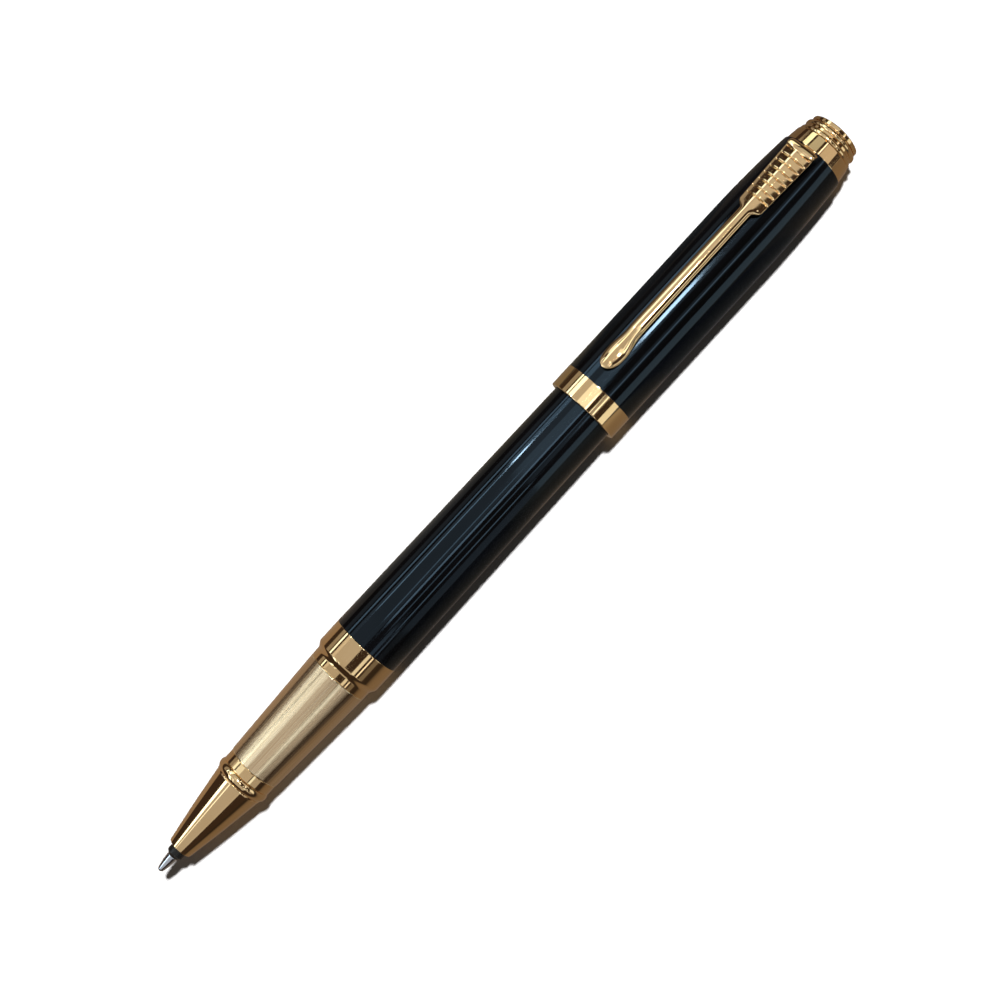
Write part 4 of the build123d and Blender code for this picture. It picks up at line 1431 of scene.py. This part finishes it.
@dataclass
class Studio:
    """A pale floor under a high lamp, with a painted reflection that only the polish sees, soft boxes round
    the pen, and the camera. Places are metres.
    """

    tilt: float = 18.5
    roll: float = 47.4
    camera_distance: float = 0.241
    camera_shift: float = 0.17
    lens: float = 57.5
    clip_start: float = 0.005
    floor_size: float = 4.0
    floor_shade: float = 0.86
    # Across the pen, in metres: where the floor's painted reflection turns from its near colour to its far
    # colour, and where it turns to its beyond colour.
    near_edge: tuple[float, float] = (-0.045, -0.012)
    beyond_edge: tuple[float, float] = (-0.002, 0.004)
    room_colour: Colour = (1.0, 0.86, 0.74)
    room_glow: float = 0.05
    polish_room_colour: Colour = (1.0, 0.66, 0.50)
    polish_room_glow: float = 0.045
    lamp_place: tuple[float, float, float] = (0.33, -0.055, 1.2)
    lamp_size: float = 0.09
    lamp_glow: float = 860.0
    strips: tuple[Strip, ...] = (
        Strip("left_rim", 77, 91, (-0.19, 0.28), 0.30, (1.0, 0.97, 0.93)),
        Strip("left_line", 67, 72, (-0.13, 0.145), 2.8, SKY),
        Strip("left_grip", 67, 76, (-0.19, -0.13), 0.5),
        Strip("key_cone", 44, 57, OVER_CONE, 3.4, SKY),
        Strip("key_grip", 55, 67, OVER_GRIP, 1.5, SOFT_SKY),
        Strip("key_grip_low", 24, 49, OVER_GRIP, 1.15, SOFT_SKY),
        Strip("key_collar", 50, 60, OVER_COLLAR, 0.72),
        Strip("key_line", 50, 52.5, OVER_BARREL, 5.0, SKY),
        Strip("key_band", 50, 63, OVER_CAP, 2.4, SKY),
        Strip("key_finial", 52, 72, OVER_FINIAL, 1.8, (0.85, 0.97, 0.9)),
        Strip("ceiling_cone", -24, 44, OVER_CONE, 0.47),
        Strip("cone_right", -34, -24, OVER_CONE, 0.5),
        Strip("cone_line", 26, 31, OVER_CONE, 1.3, SKY),
        Strip("ceiling_grip", -20, 24, OVER_GRIP, 0.52),
        Strip("grip_right", -34, -24, OVER_GRIP, 1.3, SKY),
        Strip("ceiling_middle", 2, 50, OVER_COLLAR, 0.50),
        Strip("ceiling_band", 29, 50, OVER_CAP, 0.55),
        Strip("ceiling_band_top", 0, 29, (0.02, 0.085), 1.3, (0.92, 0.98, 1.0)),
        Strip("ceiling_cap", 0, 29, (0.085, 0.28), 0.60),
        Strip("ceiling_finial", 12, 44, OVER_FINIAL, 0.55, (0.93, 1.0, 0.95)),
        Strip("finial_line", -2, 2, OVER_FINIAL, 2.4),
        Strip("finial_right", -50, -5, OVER_FINIAL, 0.62, (1.0, 0.92, 0.84)),
        Strip("line_twelve", 11, 13.5, OVER_BARREL, 2.6, SKY),
        Strip("middle_line", -5.5, -0.5, PAST_BARREL, 3.6, PALE_SKY),
        Strip("right_first", -20.5, -17.5, PAST_BARREL, 1.6, PALE_SKY),
        Strip("right_soft", -34, -24, OVER_FRONT, 0.95, (0.92, 0.97, 1.0)),
        Strip("right_grip", -62, -34, OVER_GRIP, 0.42),
        Strip("right_second", -39.5, -36.5, OVER_BARREL, 2.4, PALE_SKY),
        Strip("right_collar", -45, -41, OVER_FRONT, 1.4),
        Strip("right_back", -34, -22, OVER_CAP, 0.40),
        Strip("right_back_line", -31, -28, (0.05, 0.28), 2.0, PALE_SKY),
        Strip("front_card", -72, -52, OVER_CAP, 1.0, (0.95, 1.0, 0.97)),
        Strip("front_middle", -72, -50, OVER_BARREL, 0.42, (0.95, 0.98, 1.0)),
        Strip("front_collar", -66, -52, OVER_FRONT, 0.15, (1.0, 0.95, 0.85)),
        Strip("barrel_glint", 50, 54, (0.022, 0.031), 50.0),
        Strip("cap_glint", 7, 16, (0.088, 0.120), 38.0),
    )
    # The floor's painted reflection: glowing colours that glossy rays see on the table, lighter and darker by
    # stretch and side, in place of its real light and shade.
    painted_reflection_zones: tuple[PaintedReflectionZone, ...] = (
        PaintedReflectionZone(-90, -30, (0.22, 0.165, 0.12), (0.035, 0.026, 0.02), (0.33, 0.25, 0.19)),
        PaintedReflectionZone(-26, -2, (0.13, 0.11, 0.09), (0.035, 0.04, 0.045), (0.24, 0.21, 0.18)),
        PaintedReflectionZone(6, 27, (0.22, 0.17, 0.125), (0.32, 0.265, 0.20), (0.22, 0.18, 0.135)),
        PaintedReflectionZone(33, 60, (0.10, 0.095, 0.09), (0.045, 0.055, 0.07), (0.06, 0.06, 0.06)),
        PaintedReflectionZone(65, 90, (0.22, 0.165, 0.12), (0.20, 0.155, 0.115), (0.17, 0.13, 0.10)),
    )

    def toward_camera(self) -> Vector:
        """The way from the pen to the camera: up, and tilted to the pen's -Y side."""
        tilt = math.radians(self.tilt)
        return Vector((0.0, -math.sin(tilt), math.cos(tilt)))

    def build(self) -> None:
        """Set up the camera, the floor, the world and the lights."""
        self.camera()
        self.floor()
        self.world()
        self.lamp()
        for strip in self.strips:
            self.light(strip)
        bpy.context.scene.view_settings.view_transform = "Standard"

    def camera(self) -> None:
        """A camera over the pen's middle, rolled so that the cap points to the upper right."""
        data = bpy.data.cameras.new("camera")
        data.lens = self.lens
        data.clip_start = self.clip_start
        camera = bpy.data.objects.new("camera", data)
        back = self.toward_camera()
        right, up = Vector((1, 0, 0)), back.cross(Vector((1, 0, 0)))
        roll = math.radians(self.roll)
        level = right * math.cos(roll) - up * math.sin(roll)
        raised = right * math.sin(roll) + up * math.cos(roll)
        place = Vector((self.camera_shift * MM, 0, axis_height() * MM)) + back * self.camera_distance
        rotation = Matrix((level, raised, back)).transposed().to_4x4()
        camera.matrix_world = Matrix.Translation(place) @ rotation
        bpy.context.scene.collection.objects.link(camera)
        bpy.context.scene.camera = camera

    def floor(self) -> None:
        """A pale floor, which glossy rays see as a painted reflection: a glowing table whose colour, lighter
        and darker by stretch and side, goes by the painted reflection zones.
        """
        half = self.floor_size / 2
        mesh = bpy.data.meshes.new("floor")
        square = [(-half, -half, 0), (half, -half, 0), (half, half, 0), (-half, half, 0)]
        mesh.from_pydata(square, [], [(0, 1, 2, 3)])
        floor = bpy.data.objects.new("floor", mesh)
        bpy.context.scene.collection.objects.link(floor)
        material = bpy.data.materials.new("pale floor with painted reflection")
        material.use_nodes = True
        w = Wiring(material.node_tree)
        shader = material.node_tree.nodes["Principled BSDF"]
        shader.inputs["Base Color"].default_value = (*[self.floor_shade] * 3, 1.0)
        shader.inputs["Roughness"].default_value = 1.0
        shader.inputs["Specular IOR Level"].default_value = 0.0
        # Painted reflection: glossy rays see the floor as this emission. Its glow, with a colour listed by
        # stretch and side, stands in for the lit and shaded table.
        dim = w.add("Emission")
        where = w.add("TexCoord")
        across = w.add("SeparateXYZ")
        w.join(where.outputs["Object"], across.inputs[0])
        place = w.add("MapRange", clamp=True)
        w.join(across.outputs["X"], place.inputs["Value"])
        place.inputs["From Min"].default_value = self.painted_reflection_zones[0].start * MM
        place.inputs["From Max"].default_value = self.painted_reflection_zones[-1].end * MM
        along = place.outputs["Result"]
        near, far, beyond = (self.banded(w, along, side) for side in ("near", "far", "beyond"))
        right = w.mixed(w.ranged(across.outputs["Y"], *self.near_edge, (1.0, 0.0)), near, far)
        left = w.ranged(across.outputs["Y"], *self.beyond_edge, (0.0, 1.0))
        w.join(w.mixed(left, right, beyond), dim.inputs["Color"])
        self.only_in_polish(w, shader, dim, material.node_tree.nodes["Material Output"])
        mesh.materials.append(material)

    def only_in_polish(
        self, w: Wiring, plain: bpy.types.Node, dim: bpy.types.Node, output: bpy.types.Node
    ) -> None:
        """Show one shader to glossy rays and another to all the rest.

        Args:
            w: the wiring of the floor or the world.
            plain: the shader that everything else sees.
            dim: the shader that the polish sees.
            output: the output node.
        """
        path = w.add("LightPath")
        mix = w.add("MixShader")
        w.join(path.outputs["Is Glossy Ray"], mix.inputs[0])
        w.join(plain.outputs[0], mix.inputs[1])
        w.join(dim.outputs[0], mix.inputs[2])
        w.join(mix.outputs[0], output.inputs["Surface"])

    def banded(self, w: Wiring, place: Socket, side: str) -> Socket:
        """A painted reflection colour for each zone along the pen, blended between stretches.

        Args:
            w: the floor material's wiring.
            place: where along the zones, from 0 to 1.
            side: which of the zones' colours.

        Returns:
            The colour's socket.
        """
        ramp = w.add("ValToRGB")
        w.join(place, ramp.inputs[0])
        stops = ramp.color_ramp.elements
        first, last = self.painted_reflection_zones[0].start, self.painted_reflection_zones[-1].end
        marks = [(x, getattr(zone, side)) for zone in self.painted_reflection_zones for x in (zone.start, zone.end)]
        stops[0].position, stops[1].position = 0.0, 1.0
        for x, _ in marks[1:-1]:
            stops.new((x - first) / (last - first))
        for stop, (_, colour) in zip(stops, marks):
            stop.color = (*colour, 1.0)
        return ramp.outputs[0]

    def world(self) -> None:
        """An even pale surround, which polished pieces see as a dim room."""
        world = bpy.data.worlds.new("studio")
        world.use_nodes = True
        w = Wiring(world.node_tree)
        pale = world.node_tree.nodes["Background"]
        pale.inputs["Color"].default_value = (*self.room_colour, 1.0)
        pale.inputs["Strength"].default_value = self.room_glow
        dim = w.add("Background")
        dim.inputs["Color"].default_value = (*self.polish_room_colour, 1.0)
        dim.inputs["Strength"].default_value = self.polish_room_glow
        self.only_in_polish(w, pale, dim, world.node_tree.nodes["World Output"])
        bpy.context.scene.world = world

    def lamp(self) -> None:
        """A small square lamp high over the cap's side, which lights the floor and isn't in the polish."""
        data = bpy.data.lights.new("lamp", "AREA")
        data.size = self.lamp_size
        data.energy = self.lamp_glow * math.pi * self.lamp_size**2
        lamp = bpy.data.objects.new("lamp", data)
        lamp.location = self.lamp_place
        lamp.rotation_euler = Vector(self.lamp_place).to_track_quat("Z", "Y").to_euler()
        lamp.visible_glossy = False
        bpy.context.scene.collection.objects.link(lamp)

    def light(self, strip: Strip) -> None:
        """Place a soft box at its bearing round the pen, facing the pen's axis.

        Its power gives a glow of strip.glow over its face: power = glow * pi * area.

        Args:
            strip: the soft box.
        """
        back = self.toward_camera()
        left = back.cross(Vector((1, 0, 0)))
        bearing = math.radians((strip.start + strip.end) / 2)
        way = back * math.cos(bearing) + left * math.sin(bearing)
        data = bpy.data.lights.new(strip.name, "AREA")
        data.shape = "RECTANGLE"
        data.size = strip.along[1] - strip.along[0]
        data.size_y = 2 * strip.distance * math.tan(math.radians(strip.end - strip.start) / 2)
        data.color = strip.colour
        data.energy = strip.glow * math.pi * data.size * data.size_y
        light = bpy.data.objects.new(strip.name, data)
        centre = Vector(((strip.along[0] + strip.along[1]) / 2, 0, axis_height() * MM)) + way * strip.distance
        across = way.cross(Vector((1, 0, 0)))
        rotation = Matrix((Vector((1, 0, 0)), across, way)).transposed().to_4x4()
        light.matrix_world = Matrix.Translation(centre) @ rotation
        light.visible_diffuse = False
        bpy.context.scene.collection.objects.link(light)


def main() -> None:
    Studio().build()
    for assembly in (WritingBall(), Refill(), Section(), Barrel(), Cap(), Clip()):
        assembly.build()
        log.info("built %s", type(assembly).__name__)


if __name__ == "__main__":
    main()
